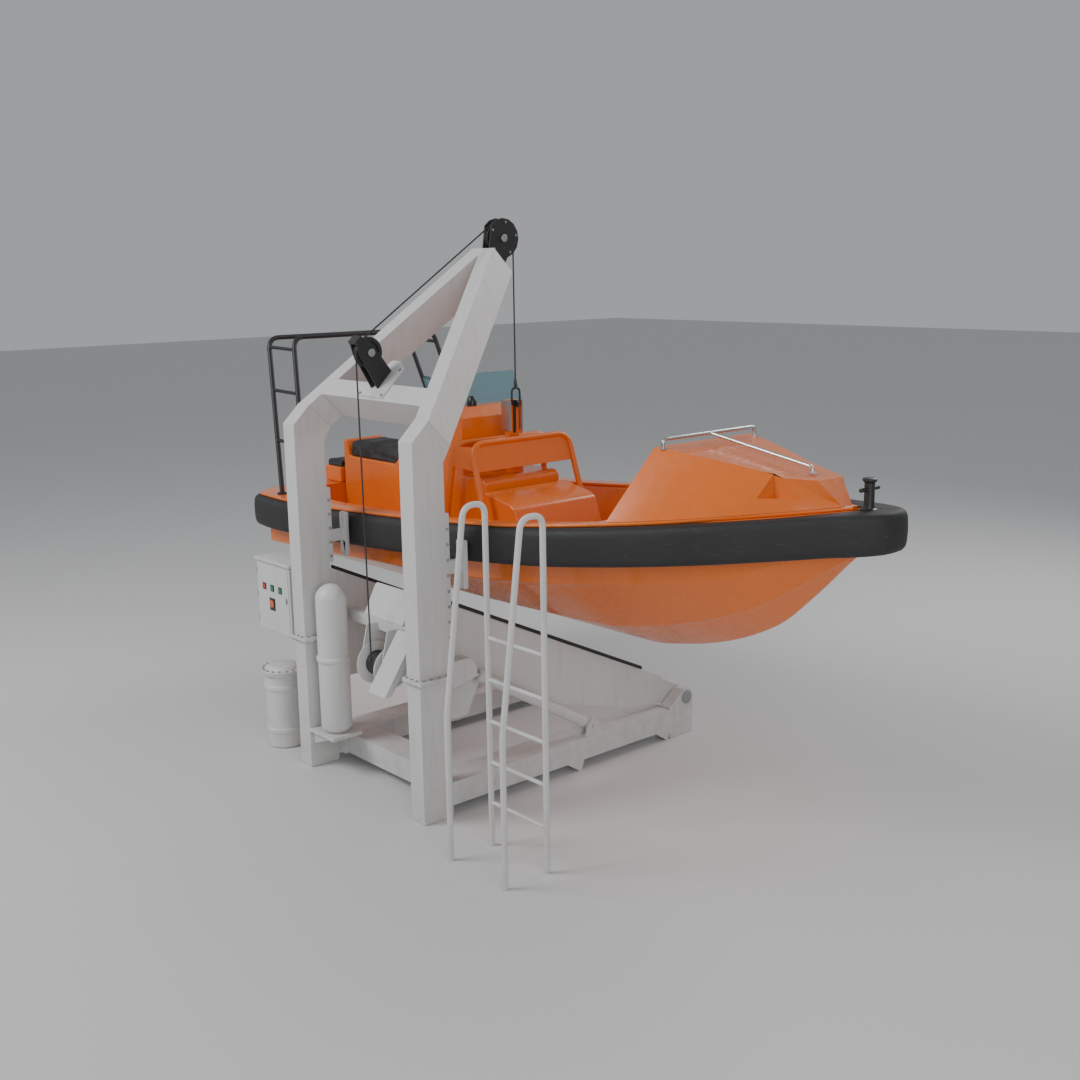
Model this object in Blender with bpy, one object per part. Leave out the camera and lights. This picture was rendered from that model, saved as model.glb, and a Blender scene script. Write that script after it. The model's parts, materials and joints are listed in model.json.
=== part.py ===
"""Fast rescue boat hanging in its single-point slewing-frame davit, with the boarding ladder.

Metres, +Z up. Every measure below is in the davit's own frame: x runs along the boat toward
its bow, y runs outboard from the front faces of the two posts, and z runs up from the deck.
One empty shifts that frame so that the part's origin lies under the middle of its box.
"""
import math

import bmesh
import bpy
import numpy as np
from mathutils import Vector

# Place of the part's origin in the davit's frame
ORIGIN = Vector((1.3365, 1.340, 0.0))

# Running and seating gap between neighbouring solids
GAP = 0.0003
ROUND_SIDES = 20
TUBE_SIDES = 8

# Davit posts and arm
POST_WIDTH = 0.16
POST_DEPTH = 0.265
POST_GAUGE = 1.56
MID_X = (POST_GAUGE + POST_WIDTH) / 2
LANDING_Z = 1.0925
FLANGE = 0.0125
BEND_Z = 2.82
ARM_ANGLE = math.radians(44.1)
ARM_DEPTH = 0.262
ARM_END_S = 1.897

# Luffing pivot on the outboard brackets, and its range
PIVOT_Y = 2.812
PIVOT_Z = 0.328
PIN_RADIUS = 0.035
LUFF_RANGE = math.radians(60)

# Base frame
BEAM_TOP = 0.262
BEAM_BOTTOM = 0.082
BEAM_WIDTH = 0.27
BEAM_END = 2.62

# Luffing cylinders: foot pin on the side beam, rod eye on the frame
CYLINDER_X = (0.06, 1.66)
FOOT_PIN = (1.72, 0.333)
ROD_EYE = (0.47, 1.08)
BARREL_RADIUS = 0.048
ROD_RADIUS = 0.028

# Sheaves: pin places in y and z, radius of the wire's own centre line
HEAD_PIN = (1.532, 4.215)
HEAD_SHEAVE = 0.133
DEFLECTOR_PIN = (0.245, 3.392)
DEFLECTOR_SHEAVE = 0.105
WIRE_RADIUS = 0.007

# The wire is split where it leaves the head sheave: the run ends on the sheave this far below
# the pin's level, and the drop starts just outside the circle that the run sweeps
WIRE_WRAP_END = math.radians(-27)
WIRE_SPLIT = 0.0582

# Winch drum axis
DRUM_Y = 0.25
DRUM_Z = 0.99
DRUM_CORE = 0.083
DRUM_FLANGE = 0.17

# Lifting ring: height of its middle and half of its height
RING_Z = 2.959
RING_HALF_HEIGHT = 0.068

# Boat: middle plane, stations along it, and its breadths there
BOAT_Y = 1.665
FENDER_HEIGHT = 0.27
FLOOR_Z = 1.64
WELL_DEPTH = 0.45
WELL_TOP_Z = 2.9
DECK_THICK = 0.025
TRANSOM_X = -1.52
COLUMNS = ("x", "keel_z", "strake_half", "strake_z", "chine_half", "chine_z", "side_half",
           "inner_half", "outer_half", "deck_half")
STATIONS = (
    (-1.52, 1.27, 0.50, 1.385, 0.92, 1.52, 0.98, 1.005, 1.120, 1.060),
    (-0.90, 1.25, 0.50, 1.385, 0.94, 1.55, 1.00, 1.025, 1.190, 1.125),
    (0.00, 1.22, 0.50, 1.385, 0.96, 1.60, 1.02, 1.045, 1.190, 1.130),
    (0.90, 1.21, 0.50, 1.39, 0.97, 1.655, 1.02, 1.045, 1.190, 1.130),
    (1.40, 1.21, 0.50, 1.40, 0.96, 1.69, 1.02, 1.045, 1.188, 1.130),
    (1.90, 1.21, 0.49, 1.415, 0.93, 1.735, 0.99, 1.020, 1.172, 1.125),
    (2.40, 1.21, 0.46, 1.43, 0.87, 1.79, 0.92, 0.950, 1.125, 1.040),
    (2.85, 1.28, 0.40, 1.50, 0.77, 1.85, 0.81, 0.840, 1.015, 0.895),
    (3.20, 1.38, 0.34, 1.59, 0.66, 1.90, 0.69, 0.720, 0.895, 0.745),
    (3.60, 1.57, 0.25, 1.74, 0.49, 1.99, 0.50, 0.530, 0.715, 0.470),
    (3.90, 1.83, 0.16, 1.93, 0.30, 2.08, 0.32, 0.350, 0.540, 0.265),
    (4.20, 2.14, 0.03, 2.15, 0.045, 2.17, 0.05, 0.080, 0.360, 0.030),
)
STERN_TABLE = ((-1.62, 1.08), (-1.70, 0.98), (-1.78, 0.72), (-1.82, 0.36), (-1.83, 0.0))
STERN_DECK = ((-1.78, 0.30), (-1.74, 0.66), (-1.67, 0.90), (-1.60, 1.00))
BOW_TABLE = ((4.385, 0.258, 4.235, 0.05), (4.475, 0.170, 4.25, 0.03), (4.530, 0.055, 4.26, 0.01))
BOW_RISE = 0.10
BOLLARD_X = 4.292
COCKPIT_STATIONS = ((-1.44, 0.66, 0.80), (-0.90, 0.72, 0.88), (0.00, 0.74, 0.97),
                    (0.90, 0.75, 0.97), (1.40, 0.75, 0.97), (1.90, 0.72, 0.94),
                    (2.40, 0.62, 0.84), (2.70, 0.54, 0.74))


def sheer(x):
    """Height of the fender's top: straight between stations, on a gentle curve."""
    xs = np.array([row[0] for row in STATIONS])
    return float(np.interp(x, xs, 2.04 + 0.0562 * xs + 0.01054 * xs ** 2))


# Boarding ladder: bend of the front legs, top of the hoops, plane of the back legs
LADDER_KINK_Z = 1.04
LADDER_TOP_Z = 2.46
LADDER_BACK_Y = 0.163

# Waterjet: height, steering axis and the reversing bucket's pin
JET_Z = 1.45
STEER_X = -1.735
BUCKET_X = -1.76

# Colours: base colour, roughness, metallic
PAINTS = {
    "white_paint": ((0.62, 0.62, 0.61), 0.45, 0.0),
    "orange_gel": ((0.80, 0.17, 0.015), 0.35, 0.0),
    "black_foam": ((0.018, 0.018, 0.02), 0.6, 0.0),
    "black_steel": ((0.03, 0.03, 0.035), 0.4, 0.6),
    "steel": ((0.55, 0.56, 0.57), 0.3, 1.0),
    "glass": ((0.25, 0.42, 0.48), 0.08, 0.0),
    "cushion": ((0.02, 0.02, 0.022), 0.7, 0.0),
    "engine_grey": ((0.2, 0.22, 0.24), 0.5, 0.2),
    "white_light": ((0.72, 0.72, 0.70), 0.4, 0.0),
}


def paint(obj, name):
    """Give obj its own Principled material in one of the listed finishes."""
    colour, rough, metal = PAINTS[name]
    mat = bpy.data.materials.new(obj.name + "_" + name)
    mat.use_nodes = True
    shader = mat.node_tree.nodes["Principled BSDF"]
    shader.inputs["Base Color"].default_value = (*colour, 1.0)
    shader.inputs["Roughness"].default_value = rough
    shader.inputs["Metallic"].default_value = metal
    obj.data.materials.clear()
    obj.data.materials.append(mat)
    return obj


def solid(name, points, faces, finish="white_paint"):
    """Closed mesh object from points and faces, with its faces turned outward."""
    mesh = bpy.data.meshes.new(name)
    mesh.from_pydata([tuple(p) for p in points], [], faces)
    work = bmesh.new()
    work.from_mesh(mesh)
    bmesh.ops.recalc_face_normals(work, faces=work.faces)
    work.to_mesh(mesh)
    work.free()
    obj = bpy.data.objects.new(name, mesh)
    bpy.context.scene.collection.objects.link(obj)
    obj.parent = STATION_EMPTY
    return paint(obj, finish)


def loft(name, rings, finish="white_paint", closed=False):
    """Solid skinned over rings of equal count; closed joins the last ring to the first."""
    count = len(rings[0])
    points = [p for ring in rings for p in ring]
    faces = []
    spans = len(rings) if closed else len(rings) - 1
    for i in range(spans):
        a, b = i * count, ((i + 1) % len(rings)) * count
        for j in range(count):
            k = (j + 1) % count
            faces.append((a + j, a + k, b + k, b + j))
    if not closed:
        faces.append(tuple(range(count))[::-1])
        faces.append(tuple(range((len(rings) - 1) * count, len(rings) * count)))
    return solid(name, points, faces, finish)


def prism(name, outline, axis, low, high, finish="white_paint"):
    """Outline in the two other axes, in their order, extruded along axis from low to high."""
    def place(p, value):
        q = list(p)
        q.insert("xyz".index(axis), value)
        return q
    return loft(name, [[place(p, low) for p in outline], [place(p, high) for p in outline]], finish)


def block(name, low, high, finish="white_paint"):
    """Rectangular block between two corners."""
    outline = ((low[0], low[1]), (high[0], low[1]), (high[0], high[1]), (low[0], high[1]))
    return prism(name, outline, "z", low[2], high[2], finish)


def bore(radius, sides):
    """Radius of a many-sided bore that clears a pin of the given radius at every angle."""
    return (radius + GAP) / math.cos(math.pi / sides)


def circle(radius, sides=ROUND_SIDES, centre=(0.0, 0.0)):
    """Points round a circle."""
    turn = [2 * math.pi * (i + 0.5) / sides for i in range(sides)]
    return [(centre[0] + radius * math.cos(a), centre[1] + radius * math.sin(a)) for a in turn]


def disc(name, axis, centre, radius, low, high, finish="white_paint", sides=ROUND_SIDES):
    """Round bar along axis, centred in the two other axes, from low to high."""
    return prism(name, circle(radius, sides, centre), axis, low, high, finish)


def turned(name, profile, centre, finish="white_paint", sides=ROUND_SIDES):
    """Upright turned solid from (radius, z) pairs, bottom to top, flat at both ends."""
    rings = [[(centre[0] + x, centre[1] + y, z) for x, y in circle(r, sides)] for r, z in profile]
    return loft(name, rings, finish)


def rounded_path(corners, radius, steps=3, closed=False):
    """Corner points of a bent tube, each corner replaced by an arc of the bend's radius."""
    corners = [Vector(c) for c in corners]
    path = [] if closed else [corners[0]]
    inner = range(len(corners)) if closed else range(1, len(corners) - 1)
    for i in inner:
        before, here, after = corners[i - 1], corners[i], corners[(i + 1) % len(corners)]
        to_before = (before - here).normalized()
        to_after = (after - here).normalized()
        half = to_before.angle(to_after) / 2
        reach = min(radius / math.tan(half), 0.45 * (before - here).length, 0.45 * (after - here).length)
        bend = reach * math.tan(half)
        middle = here + (to_before + to_after).normalized() * (bend / math.sin(half))
        start = here + to_before * reach - middle
        end = here + to_after * reach - middle
        for k in range(steps + 1):
            turn = start.slerp(end, k / steps).normalized()
            path.append(middle + turn * start.length)
    if not closed:
        path.append(corners[-1])
    return path


def tube(name, path, radius, finish="steel", sides=TUBE_SIDES, closed=False):
    """Round bar swept along a path, its rings turned with the least twist."""
    path = [Vector(p) for p in path]
    count = len(path)
    rings = []
    side = None
    for i, p in enumerate(path):
        before = path[i - 1] if i or closed else p
        after = path[(i + 1) % count] if i < count - 1 or closed else p
        run = (after - before).normalized()
        if side is None:
            side = run.orthogonal().normalized()
        side = (side - run * side.dot(run)).normalized()
        up = run.cross(side)
        lean = (after - p).normalized() if (after - p).length else run
        stretch = 1.0 / max(0.5, lean.dot(run))
        bend = (lean - run * lean.dot(run))
        bend = bend.normalized() if bend.length > 1e-6 else side
        ring = []
        for u, v in circle(radius, sides):
            offset = side * u + up * v
            offset += bend * offset.dot(bend) * (stretch - 1.0)
            ring.append(p + offset)
        rings.append(ring)
    return loft(name, rings, finish, closed)


def combine(obj, operation, others):
    """Boolean of obj with each of the others, which stay in the file as hidden guides."""
    for other in others:
        step = obj.modifiers.new(operation.lower() + "_" + other.name, "BOOLEAN")
        step.operation = operation
        step.solver = "EXACT"
        step.object = other
        other.hide_render = True
        other.display_type = "WIRE"
    return obj


def fuse(obj, *others):
    """Weld the others to obj."""
    return combine(obj, "UNION", others)


def cut(obj, *others):
    """Take the others out of obj."""
    return combine(obj, "DIFFERENCE", others)


def hang_on(obj, axis_point):
    """Move a moving piece's origin onto its joint's axis and leave its shape in place."""
    shift = Vector(axis_point)
    for vertex in obj.data.vertices:
        vertex.co -= shift
    obj.location = shift
    return obj


def mirrored(low, high):
    """An x span mirrored about the davit's middle."""
    return (2 * MID_X - high, 2 * MID_X - low)


def slope_point(s, n):
    """(y, z) of a point s along the arm's top face from its bend and n above that face."""
    y = s * math.cos(ARM_ANGLE) - n * math.sin(ARM_ANGLE)
    z = BEND_Z + s * math.sin(ARM_ANGLE) + n * math.cos(ARM_ANGLE)
    return (y, z)


# Base frame on deck

def base_frame():
    """Lower posts with their landing plates, cross and side beams, feet, brackets and pins."""
    frame = block("base_frame", (0, 0, 0), (POST_WIDTH, POST_DEPTH, LANDING_Z - FLANGE))
    pieces = []
    for side, x0 in enumerate((0.0, POST_GAUGE)):
        x1 = x0 + POST_WIDTH
        tag = "_left" if side == 0 else "_right"
        if side:
            pieces.append(block("lower_post" + tag, (x0, 0, 0), (x1, POST_DEPTH, LANDING_Z - FLANGE)))
        plate_x = (x0 - 0.02, x1 + 0.05)
        pieces.append(block("landing" + tag, (plate_x[0], -0.03, LANDING_Z - FLANGE - 0.002),
                            (plate_x[1], POST_DEPTH - GAP, LANDING_Z)))
        beam_x = (0.0, BEAM_WIDTH) if side == 0 else mirrored(0.0, BEAM_WIDTH)
        pieces.append(block("side_beam" + tag, (beam_x[0], POST_DEPTH - 0.01, BEAM_BOTTOM),
                            (beam_x[1], BEAM_END, BEAM_TOP)))
        bracket = ((2.61, 0.0), (2.885, 0.0), (2.885, 0.345), (2.868, 0.385), (2.830, 0.402),
                   (2.777, 0.401), (2.60, 0.279), (2.60, 0.10))
        bracket_x = (0.0, 0.11) if side == 0 else mirrored(0.0, 0.11)
        pieces.append(prism("bracket" + tag, bracket, "x", *bracket_x))
        pin_x = (0.05, 0.19) if side == 0 else mirrored(0.05, 0.19)
        pieces.append(disc("pivot_pin" + tag, "x", (PIVOT_Y, PIVOT_Z), PIN_RADIUS, *pin_x))
        for y in (1.406, 2.424):
            under = BEAM_BOTTOM + 0.01
            foot = ((y, under), (y + 0.137, 0.0), (y + 0.16, 0.0), (y + 0.20, under))
            foot_x = (0.0, 0.12) if side == 0 else mirrored(0.0, 0.12)
            pieces.append(prism("foot_%d" % round(y * 1000) + tag, foot, "x", *foot_x))
        lug = ((FOOT_PIN[0] - 0.09, BEAM_TOP - 0.01), (FOOT_PIN[0] + 0.09, BEAM_TOP - 0.01),
               (FOOT_PIN[0] + 0.06, FOOT_PIN[1] + 0.03), (FOOT_PIN[0] + 0.03, FOOT_PIN[1] + 0.06),
               (FOOT_PIN[0] - 0.03, FOOT_PIN[1] + 0.06), (FOOT_PIN[0] - 0.06, FOOT_PIN[1] + 0.03))
        for at in (-0.048, 0.030):
            x = CYLINDER_X[side] + at
            pieces.append(prism("foot_lug_%d" % round(at * 1000) + tag, lug, "x", x, x + 0.018))
        pieces.append(disc("foot_pin" + tag, "x", FOOT_PIN, 0.018,
                           CYLINDER_X[side] - 0.06, CYLINDER_X[side] + 0.06, sides=12))
    pieces.append(block("cross_beam", (BEAM_WIDTH - 0.01, 0.29, BEAM_BOTTOM),
                        (2 * MID_X - BEAM_WIDTH + 0.01, 0.55, BEAM_TOP)))
    return fuse(frame, *pieces)


def bottle_and_shelf():
    """Gas bottle with a band, standing on a shelf on the left lower post."""
    shelf = block("bottle_shelf", (POST_WIDTH + GAP, 0.0, 0.308), (0.51, 0.275, 0.338))
    rib = prism("bottle_shelf_rib", ((POST_WIDTH + GAP, 0.312), (0.46, 0.312), (POST_WIDTH + GAP, 0.2), ),
                "y", 0.03, 0.05)
    rib_back = prism("bottle_shelf_rib_back", ((POST_WIDTH + GAP, 0.312), (0.46, 0.312),
                                               (POST_WIDTH + GAP, 0.2)), "y", 0.215, 0.235)
    fuse(shelf, rib, rib_back)
    r = 0.125
    base = 0.338 + GAP
    profile = [(0.095, base), (r, base + 0.03), (r, 0.93), (r + 0.012, 0.935), (r + 0.012, 0.965), (r, 0.97),
               (r, 1.44)]
    profile += [(r * math.cos(a), 1.44 + 0.12 * math.sin(a)) for a in (0.45, 0.9, 1.25)]
    turned("gas_bottle", profile, (0.35, 0.14), "white_light", 18)


def hydraulic_tank():
    """Round oil tank with two bands and a bolted lid, standing on deck."""
    c = (-0.49, 0.15)
    r = 0.158
    band = r + 0.008
    profile = [(r - 0.01, 0.0), (r, 0.01), (r, 0.125), (band, 0.13), (band, 0.17), (r, 0.175), (r, 0.50),
               (band, 0.505), (band, 0.545), (r, 0.55), (r, 0.635), (0.182, 0.642), (0.182, 0.660)]
    tank = turned("oil_tank", profile, c, "white_light")
    behind = c[1] + 0.09
    pipes = [tube("oil_pipe_%d" % k, [(c[0] + 0.08, behind, z), (-GAP, behind, z)], 0.013, "white_light")
             for k, z in enumerate((0.34, 0.42))]
    fuse(tank, *pipes)
    lid = [(0.185, 0.660 + GAP), (0.185, 0.678), (0.13, 0.706), (0.05, 0.716)]
    turned("oil_tank_lid", lid, c, "white_light")


# Luffing frame

def frame_posts():
    """Upper posts, up to the bend, each with its foot plate."""
    top = slope_point(0.205, 0.0)
    back = slope_point(0.205, -ARM_DEPTH)
    outline = ((0.0, LANDING_Z + GAP), (POST_DEPTH, LANDING_Z + GAP), (POST_DEPTH, back[1] - 0.12),
               back, top, (0.0, BEND_Z))
    for tag, x0 in (("left", 0.0), ("right", POST_GAUGE)):
        post = prism("upper_post_" + tag, outline, "x", x0, x0 + POST_WIDTH)
        plate = block("foot_plate_" + tag, (x0 - 0.02, -0.03, LANDING_Z + GAP),
                      (x0 + POST_WIDTH + 0.05, POST_DEPTH - GAP, LANDING_Z + FLANGE))
        fuse(post, plate)


def davit_arm():
    """Two converging legs and the crossbar, cut square to the slope at the head."""
    def half_outer(s):
        return 0.86 - 0.433 * (s - 0.205)
    s0 = 0.205 + GAP
    rows = ((s0, half_outer(s0)), (ARM_END_S, 0.133))
    outline = [(-rows[0][1], s0), (rows[0][1], s0), (rows[1][1], ARM_END_S), (-rows[1][1], ARM_END_S)]

    def plate(name, flat, low, high):
        def at(p, n):
            y, z = slope_point(p[1], n)
            return (MID_X + p[0], y, z)
        return loft(name, [[at(p, low) for p in flat], [at(p, high) for p in flat]])
    arm = plate("davit_arm", outline, -ARM_DEPTH, 0.0)
    gate = [(-0.70, 0.1), (0.70, 0.1), (0.70, s0 + 0.003), (0.649, 0.323), (-0.649, 0.323), (-0.70, s0 + 0.003)]
    window = [(-0.585, 0.485), (0.585, 0.485), (0.0, 1.826)]
    return cut(arm, plate("arm_gate", gate, -ARM_DEPTH - 0.1, 0.1),
               plate("arm_window", window, -ARM_DEPTH - 0.1, 0.1))


def cheek_top(y):
    """Height of the cradle legs' sloping top edge."""
    return 1.7629 - 0.47 * y


def cheeks():
    """Lower legs of the luffing frame with rod lugs, their rubber, rear strips and fender pads."""
    rear = POST_DEPTH + GAP
    outline = [(rear, cheek_top(rear)), (2.381, cheek_top(2.381)), (2.60, 0.54), (2.72, 0.455)]
    outline += [(PIVOT_Y + 0.085 * math.cos(a), PIVOT_Z + 0.085 * math.sin(a))
                for a in (math.radians(t) for t in (75, 35, -5, -45, -85, -125))]
    outline += [(2.62, 0.285), (2.20, 0.34), (1.50, 0.545), (0.64, 0.94), (0.51, 0.70), (0.28, 0.70),
                (0.28, 1.112), (rear, 1.112)]
    lug = ((0.295, 1.185), (0.295, 0.98), (0.42, 1.00), (0.52, 1.03), (0.53, 1.09), (0.50, 1.15), (0.46, 1.185))
    for side, tag in enumerate(("left", "right")):
        def span(low, high):
            return (low, high) if side == 0 else mirrored(low, high)
        leg = prism("cradle_leg_" + tag, outline, "x", *span(0.12, 0.16))
        lugs = [prism("rod_lug_%d_" % k + tag, lug, "x", *span(low, high))
                for k, (low, high) in enumerate(((0.004, 0.024), (0.096, 0.125)))]
        low, high = span(0.004, 0.125)
        web = block("web_" + tag, (low, 0.295, 1.165), (high, 0.46, 1.185))
        eye_pin = disc("eye_pin_" + tag, "x", ROD_EYE, 0.020, *span(0.010, 0.14), sides=12)
        low, high = span(0.064, 0.16)
        flange = block("leg_flange_" + tag, (low, rear, 1.112), (high, 0.29, 1.62))
        fuse(leg, *lugs, web, eye_pin, flange)
        pin_hole = bore(PIN_RADIUS, ROUND_SIDES)
        cut(leg, disc("boss_bore_" + tag, "x", (PIVOT_Y, PIVOT_Z), pin_hole, *span(0.1, 0.2)))
        hang_on(leg, (MID_X, PIVOT_Y, PIVOT_Z))
        strip = [(y, cheek_top(y) + lift) for y, lift in ((0.30, GAP), (2.38, GAP), (2.38, 0.03), (0.30, 0.03))]
        prism("cradle_rubber_" + tag, strip, "x", *span(0.11, 0.17), "black_foam")
        post = side * POST_GAUGE
        block("rear_strip_" + tag, (post + 0.100, rear, (1.68, 1.205)[side]), (post + 0.155, 0.305, 2.29))
        pad = block("fender_pad_" + tag, (post + 0.08, 0.42, 1.71), (post + 0.16, 0.4650, 2.07))
        fuse(pad, block("pad_arm_" + tag, (post + 0.105, 0.305 + GAP, 1.84), (post + 0.145, 0.43, 1.94)))


def head_block():
    """Head cheeks with the pin between them, and the sheave."""
    y, z = HEAD_PIN
    outline = []
    for k in range(10):
        a = math.radians(-75 + 24 * k)
        outline.append((y + 0.155 * math.cos(a), z + 0.155 * math.sin(a)))
    foot_a = slope_point(ARM_END_S + GAP, -0.03)
    foot_b = slope_point(ARM_END_S + GAP, -0.225)
    outline += [foot_a, foot_b]
    outer = 0.045
    plate = prism("head_cheeks", outline, "x", MID_X - outer, MID_X - outer + 0.012, "black_steel")
    twin = prism("head_cheek_right", outline, "x", MID_X + outer - 0.012, MID_X + outer, "black_steel")
    pin = disc("head_pin", "x", HEAD_PIN, 0.02, MID_X - 0.06, MID_X + 0.06, sides=12)
    seat = [slope_point(s, n) for s, n in ((ARM_END_S + GAP, -0.05), (ARM_END_S + 0.02, -0.05),
                                           (ARM_END_S + 0.02, -0.20), (ARM_END_S + GAP, -0.20))]
    heel = prism("head_heel", seat, "x", MID_X - 0.04, MID_X + 0.04)
    fuse(plate, twin, pin, heel)
    sheave("head_sheave", HEAD_PIN, HEAD_SHEAVE, bore(0.020, 16))


def sheave(name, pin, radius, hole):
    """Grooved wheel on a pin along x, its groove as deep as the wire."""
    rim = radius + 0.010
    groove = radius - WIRE_RADIUS - 0.0002
    half = 0.022
    lip = half - 0.006
    rows = ((rim, -half), (rim, -lip), (groove, -0.006), (groove, 0.006), (rim, lip), (rim, half))
    rings = [[(MID_X + dx, pin[0] + u, pin[1] + v) for u, v in circle(r, 24)] for r, dx in rows]
    wheel = loft(name, rings, "black_steel")
    cut(wheel, disc(name + "_bore", "x", pin, hole, MID_X - 0.1, MID_X + 0.1, sides=16))
    return hang_on(wheel, (MID_X, *pin))


def deflector_block():
    """Plate on the crossbar, the deflector's bracket standing square on it, and its sheave."""
    flat = ((-0.155, 0.343), (0.162, 0.343), (0.162, 0.635), (0.06, 0.70), (-0.04, 0.70), (-0.155, 0.52))
    def at(p, n):
        y, z = slope_point(p[1], n)
        return (MID_X + p[0], y, z)
    thick = 0.014
    loft("deflector_plate", [[at(p, GAP) for p in flat], [at(p, thick) for p in flat]])
    arms = []
    side = ((0.42, thick + GAP), (0.60, thick + GAP), (0.63, 0.30), (0.60, 0.375), (0.53, 0.375), (0.49, 0.30))
    outline = [slope_point(*p) for p in side]
    for name, x in (("deflector_bracket", -0.045), ("deflector_cheek", 0.033)):
        arms.append(prism(name, outline, "x", MID_X + x, MID_X + x + 0.012, "black_steel"))
    pin = disc("deflector_pin", "x", DEFLECTOR_PIN, 0.018, MID_X - 0.058, MID_X + 0.058, sides=12)
    lid = ((-0.05, 0.53), (0.05, 0.53), (0.05, 0.60), (-0.05, 0.60))
    cap = loft("deflector_cap", [[at(p, n) for p in lid] for n in (0.37, 0.395)])
    fuse(arms[0], arms[1], pin, cap)
    sheave("deflector_sheave", DEFLECTOR_PIN, DEFLECTOR_SHEAVE, bore(0.018, 16))


def wire_over_sheaves():
    """Fall wire from the drum over both sheaves, down to where its drop leaves the head sheave."""
    dy, dz = DEFLECTOR_PIN
    hy, hz = HEAD_PIN
    path = [(MID_X, DRUM_Y - DRUM_CORE - 0.022, DRUM_Z), (MID_X, dy - DEFLECTOR_SHEAVE, dz)]
    span = math.hypot(hy - dy, hz - dz)
    base = math.atan2(hz - dz, hy - dy)
    tilt = math.asin((HEAD_SHEAVE - DEFLECTOR_SHEAVE) / span)
    leave = base + math.pi / 2 + tilt
    for k in range(1, 6):
        a = math.pi + (leave - math.pi) * k / 5
        path.append((MID_X, dy + DEFLECTOR_SHEAVE * math.cos(a), dz + DEFLECTOR_SHEAVE * math.sin(a)))
    for k in range(21):
        a = leave + (WIRE_WRAP_END - leave) * k / 20
        path.append((MID_X, hy + HEAD_SHEAVE * math.cos(a), hz + HEAD_SHEAVE * math.sin(a)))
    tube("fall_wire_run", path, WIRE_RADIUS - 0.0008, "black_steel", 8)


def winch():
    """Winch beam and side plates between the posts, cover, slanting stay, and the drum."""
    beam = block("winch_frame", (POST_WIDTH + GAP, 0.295, 1.24), (POST_GAUGE - GAP, 0.36, 1.33))
    plates = []
    side = ((0.13, 0.93), (0.17, 0.88), (0.33, 0.88), (0.37, 0.93), (0.37, 1.30), (0.20, 1.30), (0.15, 1.10))
    for k, x in enumerate((0.765, 1.04)):
        plates.append(prism("winch_side_%d" % k, side, "x", x - 0.012, x))
    stay = loft("winch_stay", [[(x0, y, z), (x1, y, z), (x1, y + 0.065, z), (x0, y + 0.065, z)]
                               for x0, x1, y, z in ((1.07, 1.29, -0.02, 0.875), (1.12, 1.34, 0.235, 1.32))])
    axle = disc("drum_axle", "x", (DRUM_Y, DRUM_Z), 0.025, 0.72, 1.07, sides=12)
    fuse(beam, *plates, stay, axle)
    cover = ((0.29, 1.33 + GAP), (0.37, 1.33 + GAP), (0.44, 1.47), (0.45, 1.545), (0.43, 1.57), (0.405, 1.55))
    prism("winch_motor_cover", cover, "x", 0.58, 1.105, "white_light")


def winch_drum():
    """Flanged drum with its layer of wire, turning on the axle."""
    rows = ((DRUM_FLANGE, 0.775), (DRUM_FLANGE, 0.787), (DRUM_CORE + 0.014, 0.787), (DRUM_CORE + 0.014, 0.999),
            (DRUM_FLANGE, 0.999), (DRUM_FLANGE, 1.011))
    rings = [[(x, DRUM_Y + u, DRUM_Z + v) for u, v in circle(r, 28)] for r, x in rows]
    drum = loft("winch_drum", rings, "black_steel")
    cut(drum, disc("drum_bore", "x", (DRUM_Y, DRUM_Z), bore(0.025, 16), 0.6, 1.1, sides=16))
    return hang_on(drum, (MID_X, DRUM_Y, DRUM_Z))


def cabinet():
    """Control cabinet, hollow, on rails at the left post, with its door and buttons."""
    low, high = (-0.55, 0.008, 1.045), (-0.03, 0.225, 1.645)
    box = block("control_cabinet", low, high)
    room = block("cabinet_room", (low[0] + 0.012, low[1] - 0.1, low[2] + 0.012),
                 (high[0] - 0.012, high[1] - 0.012, high[2] - 0.012))
    cut(box, room)
    lid = block("cabinet_lid", (low[0] - 0.012, low[1] - 0.03, high[2] - 0.004),
                (high[0] + 0.012, high[1] + 0.01, high[2] + 0.022))
    rails = [block("cabinet_rail_%d" % k, (high[0] - 0.004, 0.06, z), (-GAP, 0.20, z + 0.04))
             for k, z in enumerate((1.18, 1.52))]
    fuse(box, lid, *rails)
    door = block("cabinet_door", (low[0], -0.014, low[2]), (high[0] - 0.002, low[1] - GAP, high[2] - 0.012))
    buttons = [block("button_%d" % k, (-0.45 + 0.125 * k, -0.020, 1.405), (-0.395 + 0.125 * k, -0.010, 1.46))
               for k in range(3)]
    stop = block("stop_button", (-0.345, -0.026, 1.245), (-0.265, -0.010, 1.345))
    fuse(door, *buttons, stop)
    return hang_on(door, (low[0], 0.0, 1.36))


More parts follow.
